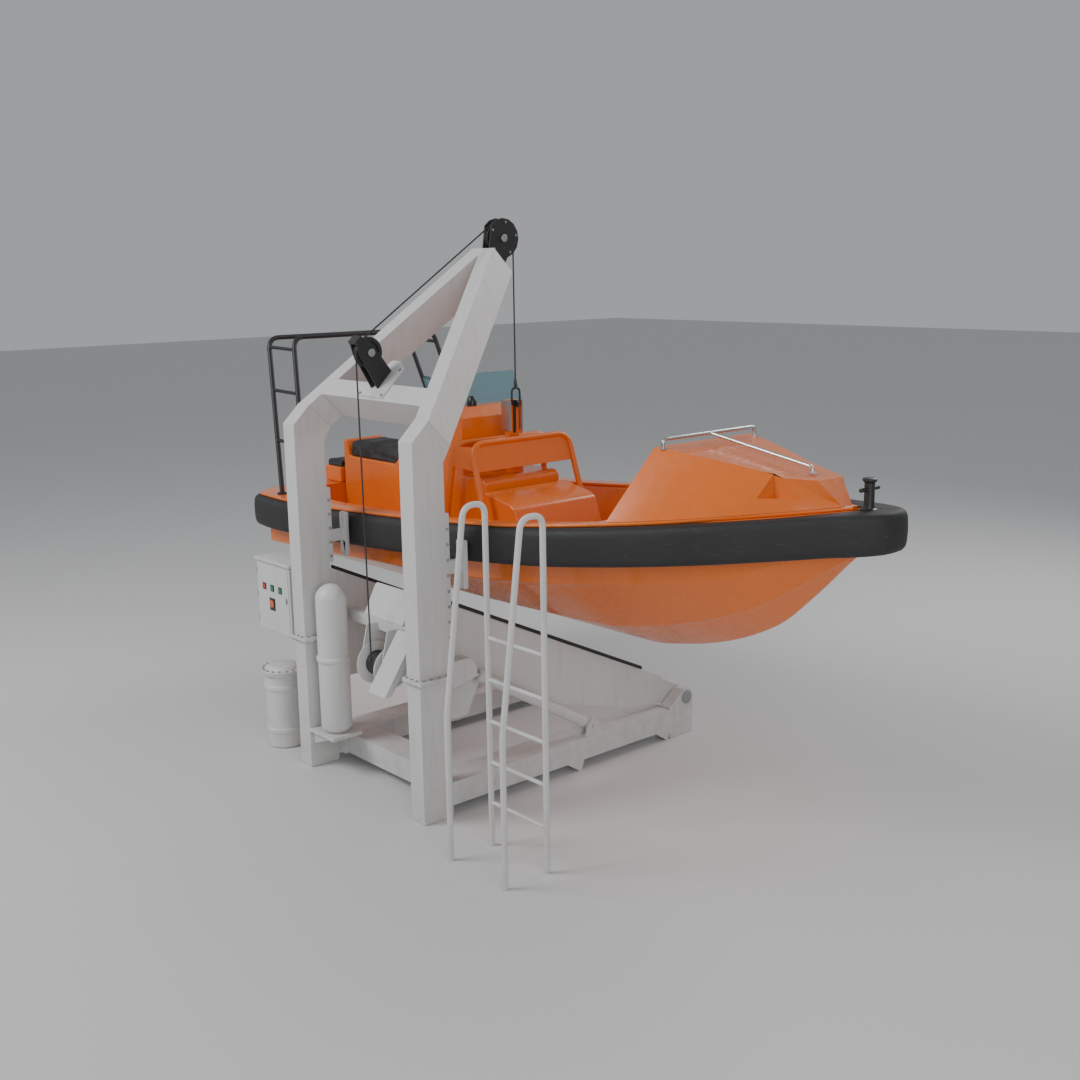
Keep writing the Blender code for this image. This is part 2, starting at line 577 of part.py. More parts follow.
def cylinders():
    """Two luffing cylinders: barrels on the base's foot pins, rods held at the frame's lugs."""
    run = Vector((0.0, ROD_EYE[0] - FOOT_PIN[0], ROD_EYE[1] - FOOT_PIN[1]))
    length = run.length
    along = run.normalized()
    for side, tag in enumerate(("left", "right")):
        x = CYLINDER_X[side]
        foot = Vector((x, *FOOT_PIN))
        eye = Vector((x, *ROD_EYE))
        barrel = tube("barrel_" + tag, [foot + along * 0.10, foot + along * (length - 0.12)], BARREL_RADIUS,
                      "white_paint", 16)
        foot_eye = disc("barrel_foot_" + tag, "x", FOOT_PIN, 0.045, x - 0.0285, x + 0.0285, sides=14)
        neck = tube("barrel_neck_" + tag, [foot + along * 0.025, foot + along * 0.11], 0.026, sides=12)
        fuse(barrel, foot_eye, neck)
        channel = tube("barrel_bore_" + tag, [foot + along * 0.13, foot + along * (length - 0.05)],
                       bore(ROD_RADIUS, 16), sides=16)
        pin_hole = disc("foot_bore_" + tag, "x", FOOT_PIN, bore(0.018, 14), x - 0.05, x + 0.05, sides=14)
        cut(barrel, channel, pin_hole)
        hang_on(barrel, foot)
        rod = tube("rod_" + tag, [foot + along * 0.14, eye - along * 0.03], ROD_RADIUS, "steel", 16)
        rod_eye = disc("rod_eye_" + tag, "x", ROD_EYE, 0.042, x - 0.0345, x + 0.0345, sides=14)
        fuse(rod, rod_eye)
        cut(rod, disc("eye_bore_" + tag, "x", ROD_EYE, bore(0.020, 14), x - 0.05, x + 0.05, sides=14))
        hang_on(rod, eye)


# The boat

def hull():
    """Vee hull with strake and chine, its cockpit cut down to the floor."""
    rings = []
    for row in STATIONS:
        r = dict(zip(COLUMNS, row))
        top = sheer(r["x"])
        half = ((0.0, r["keel_z"]), (r["strake_half"], r["strake_z"]),
                (r["strake_half"] + 0.02, r["strake_z"] + 0.004), (r["chine_half"], r["chine_z"]),
                (r["side_half"], r["chine_z"] + 0.03), (r["side_half"], top))
        ring = [(r["x"], BOAT_Y + h, z) for h, z in half]
        ring += [(r["x"], BOAT_Y - h, z) for h, z in half[:0:-1]]
        rings.append(ring)
    body = loft("hull", rings, "orange_gel")
    rings = []
    for x, low, high in COCKPIT_STATIONS:
        open_half = low + (high - low) * (WELL_TOP_Z - FLOOR_Z) / WELL_DEPTH
        rings.append([(x, BOAT_Y - low, FLOOR_Z), (x, BOAT_Y + low, FLOOR_Z),
                      (x, BOAT_Y + open_half, WELL_TOP_Z), (x, BOAT_Y - open_half, WELL_TOP_Z)])
    well = loft("cockpit_well", rings, "orange_gel")
    cut(body, well)
    rings = []
    for x, half in STERN_DECK + tuple((row[0], row[-1]) for row in STATIONS):
        top = sheer(x) + GAP
        rings.append([(x, BOAT_Y - half, top), (x, BOAT_Y + half, top), (x, BOAT_Y + half, top + DECK_THICK),
                      (x, BOAT_Y - half, top + DECK_THICK)])
    deck = loft("gunwale_deck", rings, "orange_gel")
    cut(deck, well)


def fender_top(x):
    """Height of the fender's top: level round the stern, rising evenly at the bow."""
    if x > 4.2:
        return sheer(4.2) + BOW_RISE * (x - 4.2)
    return sheer(max(x, TRANSOM_X))


def fender():
    """Foam fender all round, square with rounded corners, wide and blunt at the bow."""
    corner = 0.05
    side = [(row[0], row[8], row[0], row[7]) for row in STATIONS]
    bow = list(BOW_TABLE)
    stern = [(x, h, TRANSOM_X - 0.002, min(h, 1.004)) for x, h in STERN_TABLE[:-1]]
    near = [(x, -h, ix, -ih) for x, h, ix, ih in stern[::-1] + side + bow]
    far = [(x, -h, ix, -ih) for x, h, ix, ih in near[::-1]]
    rings = []
    for x, h, ix, ih in near + far:
        outer = Vector((x, BOAT_Y + h, 0.0))
        run = Vector((ix, BOAT_Y + ih, 0.0)) - outer
        round_in = corner / run.length
        ring = []
        for t, depth in ((1.0, FENDER_HEIGHT), (round_in, FENDER_HEIGHT),
                         (0.3 * round_in, FENDER_HEIGHT - 0.3 * corner), (0.0, FENDER_HEIGHT - corner),
                         (0.0, corner), (0.3 * round_in, 0.3 * corner), (round_in, 0.0), (1.0, 0.0)):
            p = outer + run * t
            ring.append((p.x, p.y, fender_top(p.x) - depth))
        rings.append(ring)
    return loft("fender", rings, "black_foam", closed=True)


def foredeck():
    """Faceted foredeck hood, with a notched step on each side, its rails and the bow bollard."""
    base = ((2.80, 0.86), (2.95, 0.82), (3.24, 0.69), (3.60, 0.47), (3.90, 0.25), (4.13, 0.05))
    crest = ((2.908, 0.50, 2.790), (3.12, 0.44, 2.763), (3.36, 0.36, 2.727), (3.655, 0.255, 2.675),
             (3.80, 0.21, 2.658), (3.99, 0.13, 2.640))
    rings = []
    for (x, half), (top_x, top_half, top_z) in zip(base, crest):
        foot = sheer(x) + DECK_THICK + 2 * GAP
        rings.append([(x, BOAT_Y - half, foot), (top_x, BOAT_Y - top_half, top_z),
                      (top_x, BOAT_Y + top_half, top_z), (x, BOAT_Y + half, foot)])
    hood = loft("foredeck_hood", rings, "orange_gel")
    for side in (-1, 1):
        notch = ((3.60, BOAT_Y + side * 0.62), (3.72, BOAT_Y + side * 0.235), (4.16, BOAT_Y + side * 0.165),
                 (4.3, BOAT_Y + side * 0.62))
        cut(hood, prism("hood_notch_%d" % (side + 1), notch, "z", 2.515, 2.9))
    y0, y1 = BOAT_Y - 0.475, BOAT_Y + 0.475
    z = 2.7847
    bar = rounded_path([(2.965, y0, z), (2.965, y0, z + 0.06), (2.965, y1, z + 0.06), (2.965, y1, z)], 0.03)
    rail = tube("hood_rails", bar, 0.014, "steel")
    spine = rounded_path([(2.965, BOAT_Y, z + 0.06), (3.845, BOAT_Y, 2.70), (3.85, BOAT_Y, 2.6585)], 0.03)
    fuse(rail, tube("hood_rail_spine", spine, 0.013, "steel"))
    base = sheer(4.2)
    rings = [[(BOLLARD_X + u, BOAT_Y + v, fender_top(BOLLARD_X + u) + GAP) for u, v in circle(0.034, 14)]]
    rings += [[(BOLLARD_X + u, BOAT_Y + v, base + lift) for u, v in circle(r, 14)]
              for r, lift in ((0.034, 0.19), (0.046, 0.20), (0.046, 0.215))]
    bollard = loft("bow_bollard", rings, "black_steel")
    bar = disc("bollard_bar", "y", (BOLLARD_X, base + 0.145), 0.013, BOAT_Y - 0.10, BOAT_Y + 0.10, sides=8)
    fuse(bollard, bar)


def deck_fittings():
    """Console, screen, wheel, compass, seats, engine casing and hatch, block, hoops and mast."""
    y = BOAT_Y
    floor = FLOOR_Z + GAP
    outline = ((0.10, floor), (0.56, floor), (0.56, 2.78), (0.49, 2.86), (0.26, 2.86), (0.05, 2.62), (0.05, 2.35),
               (0.10, 2.30))
    desk = prism("console", outline, "y", y - 0.33, y + 0.33, "orange_gel")
    screen = ((0.365, 2.86 + GAP), (0.38, 2.86 + GAP), (0.262, 3.112), (0.247, 3.112))
    prism("windscreen", screen, "y", y - 0.483, y + 0.483, "glass")
    turned("compass", [(0.040, 2.86 + GAP), (0.040, 2.90), (0.030, 2.935), (0.012, 2.945)], (0.435, y - 0.12),
           "black_steel", 12)
    # steering wheel on its column, square to the console's sloping back
    centre = Vector((-0.06, y, 2.60))
    lean = Vector((-0.75, 0.0, 0.66)).normalized()
    across = Vector((0.0, 1.0, 0.0))
    up = lean.cross(across)
    ring_points = [centre + across * 0.17 * math.cos(a) + up * 0.17 * math.sin(a)
                   for a in (2 * math.pi * k / 20 for k in range(20))]
    rim = tube("wheel_rim", ring_points, 0.014, "black_steel", 6, closed=True)
    spokes = [tube("wheel_spoke_%d" % k, [centre + across * 0.165 * math.cos(a) + up * 0.165 * math.sin(a),
                                          centre + across * 0.01 * math.cos(a) + up * 0.01 * math.sin(a)],
                   0.010, sides=6)
              for k, a in enumerate((math.radians(90), math.radians(210), math.radians(330)))]
    fuse(desk, tube("wheel_column", [centre - lean * (0.055 + GAP), centre - lean * 0.20], 0.022, sides=10))
    wheel = tube("steering_wheel", [centre + lean * 0.025, centre - lean * 0.055], 0.035, "black_steel", 12)
    fuse(wheel, *spokes, rim)
    hang_on(wheel, centre)
    # seats
    seat = ((-1.43, floor), (-0.50, floor), (-0.46, 2.34), (-0.49, 2.42), (-0.54, 2.33), (-0.60, 2.27), (-1.34, 2.27),
            (-1.38, 2.42), (-1.43, 2.42))
    prism("helm_seat_base", seat, "y", y - 0.21, y + 0.21, "orange_gel")
    pad = ((-1.335, 2.27 + GAP), (-0.605, 2.27 + GAP), (-0.565, 2.32), (-0.60, 2.345), (-0.85, 2.36), (-1.05, 2.42),
           (-1.30, 2.42), (-1.335, 2.40))
    prism("helm_seat_cushion", pad, "y", y - 0.195, y + 0.195, "cushion")
    foot = [(x, sheer(x) + DECK_THICK + 2 * GAP) for x in (-1.72, TRANSOM_X, -1.45)]
    prism("aft_seat_base", foot + [(-1.45, 2.15), (-1.72, 2.15)], "y", y - 0.24, y + 0.24, "orange_gel")
    block("aft_seat_cushion", (-1.71, y - 0.22, 2.15 + GAP), (-1.46, y + 0.22, 2.21), "cushion")
    # engine casing, fixed, and the engine hatch ahead of it
    casing = ((0.58, floor), (0.955, floor), (0.945, 2.30), (0.90, 2.325), (0.58, 2.325))
    prism("engine_casing", casing, "y", y - 0.40, y + 0.40, "orange_gel")
    hatch = ((0.965, floor), (1.50, floor), (1.48, 1.75), (1.34, 2.14), (1.29, 2.17), (0.965, 2.235))
    lid = prism("engine_hatch", hatch, "y", y - 0.44, y + 0.44, "orange_gel")
    room = ((0.9, FLOOR_Z - 0.1), (1.47, FLOOR_Z - 0.1), (1.455, 1.74), (1.315, 2.12), (1.28, 2.14), (0.9, 2.20))
    cut(lid, prism("hatch_room", room, "y", y - 0.41, y + 0.41))
    hang_on(lid, (1.50, y, floor + 0.012))
    block("engine_block", (0.98, y - 0.28, floor), (1.28, y + 0.28, 2.05), "engine_grey")


def lifting_gear():
    """Hook post with its plates, the release hook, the ring and the wire up to the head."""
    y = BOAT_Y
    front = 0.835
    block("hook_post", (0.775, y - 0.055, 2.325 + GAP), (front, y + 0.055, 2.93), "orange_gel")
    plate = block("hook_plates", (0.757, y - 0.069, 2.68), (0.768, y + 0.069, 2.925), "steel")
    cheeks = [block("hook_cheek_%d" % k, (0.757, y + s * 0.0622 - 0.0065, 2.68),
                    (0.868, y + s * 0.0622 + 0.0065, 2.925)) for k, s in enumerate((-1, 1))]
    fuse(plate, *cheeks)
    bar_z = RING_Z - RING_HALF_HEIGHT
    prism("release_hook", ((front + GAP, 2.66), (0.847, 2.66), (0.851, 2.72), (0.851, bar_z + 0.0081),
                           (0.872, bar_z + 0.0081), (0.872, bar_z - 0.015), (0.888, bar_z - 0.02),
                           (0.895, bar_z + 0.02), (0.885, bar_z + 0.038), (front + GAP, bar_z + 0.038)),
          "y", y - 0.010, y + 0.010, "black_steel")
    x = MID_X + 0.0015
    corners = [(x, y + u * 0.042, RING_Z + v * RING_HALF_HEIGHT) for u, v in ((-1, -1), (1, -1), (1, 1), (-1, 1))]
    ring = tube("lifting_ring", rounded_path(corners, 0.03, 3, closed=True), 0.0085, "black_steel", 6, closed=True)
    hang_on(ring, (MID_X, *HEAD_PIN))
    socket_z = RING_Z + RING_HALF_HEIGHT + 0.0085
    drop = turned("fall_wire_drop", [(0.012, socket_z), (0.013, socket_z + 0.05), (0.0065, socket_z + 0.07),
                                     (0.0068, HEAD_PIN[1] - WIRE_SPLIT)], (MID_X, y), "black_steel", 8)
    hang_on(drop, (MID_X, *HEAD_PIN))


def hoops_and_mast():
    """Two roll hoops joined by their panel, and the stern mast of two leaning frames."""
    y = BOAT_Y
    hoops = []
    floor = FLOOR_Z + GAP
    feet = []
    for name, x_top, half_top, z_top, x_low, half_low in (("roll_hoop", 0.916, 0.516, 2.618, 1.206, 0.550),
                                                          ("hoop_aft", 0.673, 0.494, 2.599, 0.510, 0.525)):
        corners = [(x_low, y - half_low, floor + 0.009), (x_top, y - half_top, z_top),
                   (x_top, y + half_top, z_top), (x_low, y + half_low, floor + 0.009)]
        feet += [disc(name + "_foot_%d" % k, "z", (x_low, y + s * half_low), 0.045, floor, floor + 0.012, sides=10)
                 for k, s in enumerate((-1, 1))]
        hoops.append(tube(name, rounded_path(corners, 0.10), 0.025, "orange_gel", 8))
    sides = [prism("hoop_side_%d" % k, ((0.645, 2.42), (0.975, 2.40), (0.925, 2.595), (0.675, 2.58)), "y",
                   y + s * 0.505 - 0.008, y + s * 0.505 + 0.008) for k, s in enumerate((-1, 1))]
    front = prism("hoop_panel", ((0.968, 2.40), (0.985, 2.40), (0.930, 2.60), (0.913, 2.60)), "y",
                  y - 0.50, y + 0.50)
    fuse(hoops[0], hoops[1], *feet, *sides, front)
    deck = sheer(-1.52) + DECK_THICK
    frames = []
    for name, x_low, x_top, z_top in (("stern_mast", -1.27, -1.73, 3.38), ("mast_fore", -0.86, -1.29, 3.40)):
        base = sheer(x_low) + DECK_THICK + 0.008
        corners = [(x_low, y - 0.98, base), (x_top, y - 0.77, z_top), (x_top, y + 0.77, z_top),
                   (x_low, y + 0.98, base)]
        frames.append(tube(name, rounded_path(corners, 0.09), 0.022, "black_steel", 8))
    rungs = []
    for k, z in enumerate((2.48, 2.92, 3.30)):
        for s in (-1, 1):
            t = (z - deck) / (3.38 - deck)
            half = 0.98 - 0.21 * t
            a = (-1.27 - 0.46 * t, y + s * half, z)
            b = (-0.86 - 0.43 * t, y + s * half, z - 0.01)
            rungs.append(tube("mast_rung_%d_%d" % (k, s + 1), [a, b], 0.016, sides=6))
    feet = [disc("mast_foot_%d_%d" % (k, s + 1), "z", (x, y + s * 0.98), 0.045, sheer(x) + DECK_THICK + 0.0032,
                 sheer(x) + DECK_THICK + 0.02, sides=10)
            for k, x in enumerate((-1.27, -0.86)) for s in (-1, 1)]
    fuse(frames[0], frames[1], *rungs, *feet)


def jet_drive():
    """Waterjet housing on the transom, steering nozzle and reversing bucket."""
    y = BOAT_Y
    side = ((TRANSOM_X - GAP, 1.34), (TRANSOM_X - GAP, 1.60), (-1.60, 1.60), (-1.69, 1.53), (-1.69, 1.37))
    housing = prism("jet_housing", side, "y", y - 0.13, y + 0.13, "black_steel")
    forks = [block("jet_fork_%d" % k, (-1.752, y - 0.018, JET_Z + low), (-1.68, y + 0.018, JET_Z + low + 0.010))
             for k, low in enumerate((-0.074, 0.064))]
    fuse(housing, *forks)
    rows = ((-1.712, 0.028), (-1.75, 0.054), (-1.76, 0.058), (-1.85, 0.052))
    rings = [[(x, y + u, JET_Z + v) for u, v in circle(r, 16)] for x, r in rows]
    nozzle = loft("jet_nozzle", rings, "black_steel")
    mouth = [[(x, y + u, JET_Z + v) for u, v in circle(0.040, 16)] for x in (-1.77, -1.9)]
    lugs = disc("nozzle_lugs", "y", (BUCKET_X, JET_Z), 0.012, y - 0.080, y + 0.080, sides=10)
    stubs = disc("nozzle_stubs", "z", (STEER_X, y), 0.010, JET_Z - 0.064 + GAP, JET_Z + 0.064 - GAP, sides=10)
    fuse(nozzle, lugs, stubs)
    cut(nozzle, loft("nozzle_mouth", mouth))
    hang_on(nozzle, (STEER_X, y, JET_Z))
    turns = [math.radians(a) for a in (48, 60, 72, 84, 95)]
    shell = [(BUCKET_X - 0.145 * math.cos(a), JET_Z + 0.145 * math.sin(a)) for a in turns]
    shell += [(BUCKET_X - 0.132 * math.cos(a), JET_Z + 0.132 * math.sin(a)) for a in turns[::-1]]
    bucket = prism("jet_bucket", shell, "y", y - 0.078, y + 0.078, "black_steel")
    arm = [(BUCKET_X - 0.140 * math.cos(a), JET_Z + 0.140 * math.sin(a)) for a in turns[1:4]]
    arm += [(BUCKET_X + 0.020, JET_Z + 0.004), (BUCKET_X + 0.012, JET_Z - 0.016), (BUCKET_X - 0.012, JET_Z - 0.016),
            (BUCKET_X - 0.022, JET_Z)]
    arms = [prism("bucket_arm_%d" % k, arm, "y", y + s * 0.072 - 0.006, y + s * 0.072 + 0.006)
            for k, s in enumerate((-1, 1))]
    fuse(bucket, *arms)
    cut(bucket, disc("bucket_bore", "y", (BUCKET_X, JET_Z), bore(0.012, 16), y - 0.1, y + 0.1, sides=16))
    hang_on(bucket, (BUCKET_X, y, JET_Z))


def ladder():
    """Boarding ladder that stands by itself: two bent hoops and the rungs between their back legs."""
    r = 0.021
    inner, outer = 2.302, 2.888
    frames = []
    for name, x in (("boarding_ladder", inner), ("ladder_hoop_b", outer)):
        corners = [(x - 0.01, -0.198, 0.0), (x - 0.01, -0.198, LADDER_KINK_Z), (x, -0.02, LADDER_TOP_Z),
                   (x, LADDER_BACK_Y, LADDER_TOP_Z), (x, LADDER_BACK_Y, 0.0)]
        frames.append(tube(name, rounded_path(corners, 0.07), r, "white_paint", 8))
    rungs = [tube("ladder_rung_%d" % k, [(inner, LADDER_BACK_Y, z), (outer, LADDER_BACK_Y, z)], 0.015, sides=8)
             for k, z in enumerate((0.325, 0.625, 0.925, 1.225, 1.525))]
    fuse(frames[0], frames[1], *rungs)


for old in list(bpy.data.objects):
    bpy.data.objects.remove(old, do_unlink=True)
STATION_EMPTY = bpy.data.objects.new("launching_station", None)
bpy.context.scene.collection.objects.link(STATION_EMPTY)
STATION_EMPTY.location = -ORIGIN

base_frame()
bottle_and_shelf()
hydraulic_tank()
frame_posts()
davit_arm()
cheeks()
head_block()
deflector_block()
wire_over_sheaves()
winch()
winch_drum()
cabinet()
cylinders()
hull()
fender()
foredeck()
deck_fittings()
lifting_gear()
hoops_and_mast()
jet_drive()
ladder()
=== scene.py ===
import json
import math

import bmesh
import bpy
import numpy as np
from mathutils import Matrix, Vector

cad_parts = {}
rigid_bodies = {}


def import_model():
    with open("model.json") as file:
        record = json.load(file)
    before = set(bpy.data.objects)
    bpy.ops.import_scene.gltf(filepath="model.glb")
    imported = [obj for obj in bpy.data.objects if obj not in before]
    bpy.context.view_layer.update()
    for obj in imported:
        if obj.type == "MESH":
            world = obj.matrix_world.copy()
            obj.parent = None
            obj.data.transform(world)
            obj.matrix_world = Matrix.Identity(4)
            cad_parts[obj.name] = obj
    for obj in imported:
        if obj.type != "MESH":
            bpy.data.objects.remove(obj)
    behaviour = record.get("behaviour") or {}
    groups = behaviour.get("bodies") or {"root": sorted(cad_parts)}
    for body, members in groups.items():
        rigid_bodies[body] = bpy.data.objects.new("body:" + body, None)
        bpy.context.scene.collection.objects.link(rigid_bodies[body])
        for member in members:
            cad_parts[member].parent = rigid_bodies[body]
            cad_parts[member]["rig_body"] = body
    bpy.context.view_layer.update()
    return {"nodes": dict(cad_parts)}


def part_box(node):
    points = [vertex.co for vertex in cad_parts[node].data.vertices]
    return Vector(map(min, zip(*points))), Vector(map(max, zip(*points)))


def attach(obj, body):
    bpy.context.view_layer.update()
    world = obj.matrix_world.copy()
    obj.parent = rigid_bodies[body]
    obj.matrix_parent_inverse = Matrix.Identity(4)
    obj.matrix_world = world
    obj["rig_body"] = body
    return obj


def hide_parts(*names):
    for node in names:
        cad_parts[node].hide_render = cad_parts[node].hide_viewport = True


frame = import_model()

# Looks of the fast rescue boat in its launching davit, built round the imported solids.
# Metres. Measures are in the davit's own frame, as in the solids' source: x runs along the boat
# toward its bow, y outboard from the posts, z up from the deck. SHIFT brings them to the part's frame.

SHIFT = np.array((-1.3365, -1.340, 0.0))
NODES = frame["nodes"]

# Davit
POST_WIDTH, POST_DEPTH, POST_GAUGE = 0.16, 0.265, 1.56
MID_X = 0.86
LANDING_Z = 1.0925
BEND_Z = 2.82
ARM_ANGLE = math.radians(44.1)
PIVOT = (2.812, 0.328)
FOOT_PIN, ROD_EYE = (1.72, 0.333), (0.47, 1.08)
CYLINDER_X = (0.06, 1.66)
HEAD_PIN, HEAD_SHEAVE = (1.532, 4.215), 0.133
DEFLECTOR_PIN, DEFLECTOR_SHEAVE = (0.245, 3.392), 0.105
DRUM_Y, DRUM_Z, DRUM_CORE, DRUM_FLANGE = 0.25, 0.99, 0.083, 0.17
WIRE_RADIUS = 0.0066

# Boat
BOAT_Y = 1.665
FLOOR_Z = 1.6405
WELL_AFT, WELL_FORE = -1.44, 2.70
STATIONS = np.array((
    (-1.52, 1.27, 0.50, 1.385, 0.92, 1.52, 0.98, 1.005, 1.120, 1.060),
    (-0.90, 1.25, 0.50, 1.385, 0.94, 1.55, 1.00, 1.025, 1.190, 1.125),
    (0.00, 1.22, 0.50, 1.385, 0.96, 1.60, 1.02, 1.045, 1.190, 1.130),
    (0.90, 1.21, 0.50, 1.39, 0.97, 1.655, 1.02, 1.045, 1.190, 1.130),
    (1.40, 1.21, 0.50, 1.40, 0.96, 1.69, 1.02, 1.045, 1.188, 1.130),
    (1.90, 1.21, 0.49, 1.415, 0.93, 1.735, 0.99, 1.020, 1.172, 1.125),
    (2.40, 1.21, 0.46, 1.43, 0.87, 1.79, 0.92, 0.950, 1.125, 1.040),
    (2.85, 1.28, 0.40, 1.50, 0.77, 1.85, 0.81, 0.840, 1.015, 0.895),
    (3.20, 1.38, 0.34, 1.59, 0.66, 1.90, 0.69, 0.720, 0.895, 0.745),
    (3.60, 1.57, 0.25, 1.74, 0.49, 1.99, 0.50, 0.530, 0.715, 0.470),
    (3.90, 1.83, 0.16, 1.93, 0.30, 2.08, 0.32, 0.350, 0.540, 0.265),
    (4.20, 2.14, 0.03, 2.15, 0.045, 2.17, 0.05, 0.080, 0.360, 0.030)))
KEEL_Z, STRAKE_HALF, STRAKE_Z, CHINE_HALF, CHINE_Z, SIDE_HALF, INNER_HALF, OUTER_HALF, DECK_HALF = range(1, 10)
WELL = np.array(((-1.44, 0.66, 0.80), (-0.90, 0.72, 0.88), (0.00, 0.74, 0.97), (0.90, 0.75, 0.97),
                 (1.40, 0.75, 0.97), (1.90, 0.72, 0.94), (2.40, 0.62, 0.84), (2.70, 0.54, 0.74)))


def curve_through(xs, ys, x):
    """Smooth curve through (xs, ys) at x: cubic pieces whose slope at each point is the harmonic
    mean of the slopes on its two sides, or zero at a turning point, so it never overshoots."""
    xs, ys, x = (np.asarray(a, float) for a in (xs, ys, x))
    step = np.diff(xs)
    rise = np.diff(ys) / step
    product = rise[1:] * rise[:-1]
    inner = np.where(product > 0, 2 * product / np.where(product > 0, rise[1:] + rise[:-1], 1.0), 0.0)
    slope = np.concatenate((rise[:1], inner, rise[-1:]))
    k = np.clip(np.searchsorted(xs, x) - 1, 0, len(xs) - 2)
    t = np.clip((x - xs[k]) / step[k], 0, 1)
    a, b = (1 - t) ** 2, t ** 2
    return (a * (1 + 2 * t) * ys[k] + b * (3 - 2 * t) * ys[k + 1]
            + step[k] * t * (1 - t) * ((1 - t) * slope[k] - t * slope[k + 1]))


def station(column, x):
    """One column of the stations' table, on a smooth curve along the boat."""
    return curve_through(STATIONS[:, 0], STATIONS[:, column], x)


def sheer(x):
    """Height of the hull's top edge: a gentle parabola between the first and last stations."""
    x = np.clip(x, STATIONS[0, 0], STATIONS[-1, 0])
    return 2.04 + 0.0562 * x + 0.01054 * x ** 2


# Camera, fitted to the photograph

def camera():
    """Camera at the photograph's angle: turned by yaw, tipped by pitch, then rolled."""
    yaw, pitch, roll = (math.radians(a) for a in (48.943, 12.063, -0.827))
    look = Vector((-math.sin(yaw) * math.cos(pitch), math.cos(yaw) * math.cos(pitch), -math.sin(pitch)))
    right = Vector((math.cos(yaw), math.sin(yaw), 0.0))
    up = right.cross(look)
    right, up = right * math.cos(roll) + up * math.sin(roll), up * math.cos(roll) - right * math.sin(roll)
    place = Vector((9.007, -5.190, 4.032)) + Vector(SHIFT)
    cam = bpy.data.objects.new("camera", bpy.data.cameras.new("camera"))
    cam.data.lens = 43.457
    cam.data.sensor_width = 36.0
    cam.data.clip_end = 200.0
    cam.matrix_world = Matrix.Translation(place) @ Matrix((right, up, -look)).transposed().to_4x4()
    bpy.context.scene.collection.objects.link(cam)
    bpy.context.scene.camera = cam


camera()


# Shader graphs

class Value:
    """A socket of a material's graph. Arithmetic on it adds Math nodes."""

    def __init__(self, graph, socket):
        self.graph, self.socket = graph, socket

    def math(self, operation, *others, flip=False):
        terms = (self, *others)
        return self.graph.add("ShaderNodeMath", {"operation": operation}, dict(enumerate(terms[::-1] if flip else terms)))

    def __add__(self, other):
        return self.math("ADD", other)

    def __sub__(self, other):
        return self.math("SUBTRACT", other)

    def __mul__(self, other):
        return self.math("MULTIPLY", other)

    def __rsub__(self, other):
        return self.math("SUBTRACT", other, flip=True)

    __radd__ = __add__
    __rmul__ = __mul__


class Finish:
    """One material: a Principled shader and the graph that feeds it."""

    def __init__(self, name, colour, rough=0.5, metal=0.0):
        self.material = bpy.data.materials.new(name)
        self.material.use_nodes = True
        self.material.diffuse_color = (*colour, 1.0)
        self.tree = self.material.node_tree
        self.shader = self.tree.nodes["Principled BSDF"]
        self.colour = (*colour, 1.0)
        self.set("Roughness", rough)
        self.set("Metallic", metal)
        self.place = self.add("ShaderNodeTexCoord", {}, {}, "Object")

    def add(self, kind, settings, inputs, output=0):
        """Any node: its settings first, then the values or links of its sockets."""
        node = self.tree.nodes.new(kind)
        for key, value in settings.items():
            if key == "stops":
                ramp = node.color_ramp
                while len(ramp.elements) < len(value):
                    ramp.elements.new(0.5)
                for element, (at, tone) in zip(ramp.elements, value):
                    element.position = at
                    element.color = (tone, tone, tone, 1.0)
            else:
                setattr(node, key, value)
        for key, value in inputs.items():
            if isinstance(value, Value):
                self.tree.links.new(value.socket, node.inputs[key])
            else:
                node.inputs[key].default_value = value
        return Value(self, node.outputs[output])

    def set(self, key, value):
        """A shader socket: a number or a link."""
        if isinstance(value, Value):
            self.tree.links.new(value.socket, self.shader.inputs[key])
        else:
            self.shader.inputs[key].default_value = value
        return self

    def stretched(self, scale):
        """Object coordinates scaled along each axis."""
        return self.add("ShaderNodeMapping", {}, {"Vector": self.place, "Scale": scale})

    def noise(self, scale, detail=3.0, stretch=None):
        """Cloudy pattern, 0 to 1."""
        where = self.stretched(stretch) if stretch else self.place
        return self.add("ShaderNodeTexNoise", {}, {"Vector": where, "Scale": scale, "Detail": detail})

    def patches(self, value, low, high):
        """Contrast: 0 below low, 1 above high."""
        return self.add("ShaderNodeMapRange", {"clamp": True}, {"Value": value, "From Min": low, "From Max": high})

    def height(self):
        """Height above the deck."""
        return self.add("ShaderNodeSeparateXYZ", {}, {"Vector": self.place}, "Z")

    def blend(self, share, first, second):
        """Colour from first to second as share goes from 0 to 1."""
        return self.add("ShaderNodeMix", {"data_type": "RGBA"}, {0: share, 6: first, 7: second}, 2)

    def shade(self, share, factor):
        """This finish's colour, with share of it scaled by factor."""
        return self.blend(share, self.colour, tuple(min(1.0, c * factor) for c in self.colour[:3]) + (1.0,))

    def bump(self, height, depth):
        """Small relief, in metres."""
        self.set("Normal", self.add("ShaderNodeBump", {}, {"Height": height, "Distance": depth, "Strength": 1.0}, 0))
        return self

    def edges(self, radius):
        """Share of worn edge: how far a rounded normal turns from the face's own."""
        soft = self.add("ShaderNodeBevel", {"samples": 4}, {"Radius": radius})
        face = self.add("ShaderNodeNewGeometry", {}, {}, "Normal")
        return 1.0 - self.add("ShaderNodeVectorMath", {"operation": "DOT_PRODUCT"}, {0: soft, 1: face}, "Value")


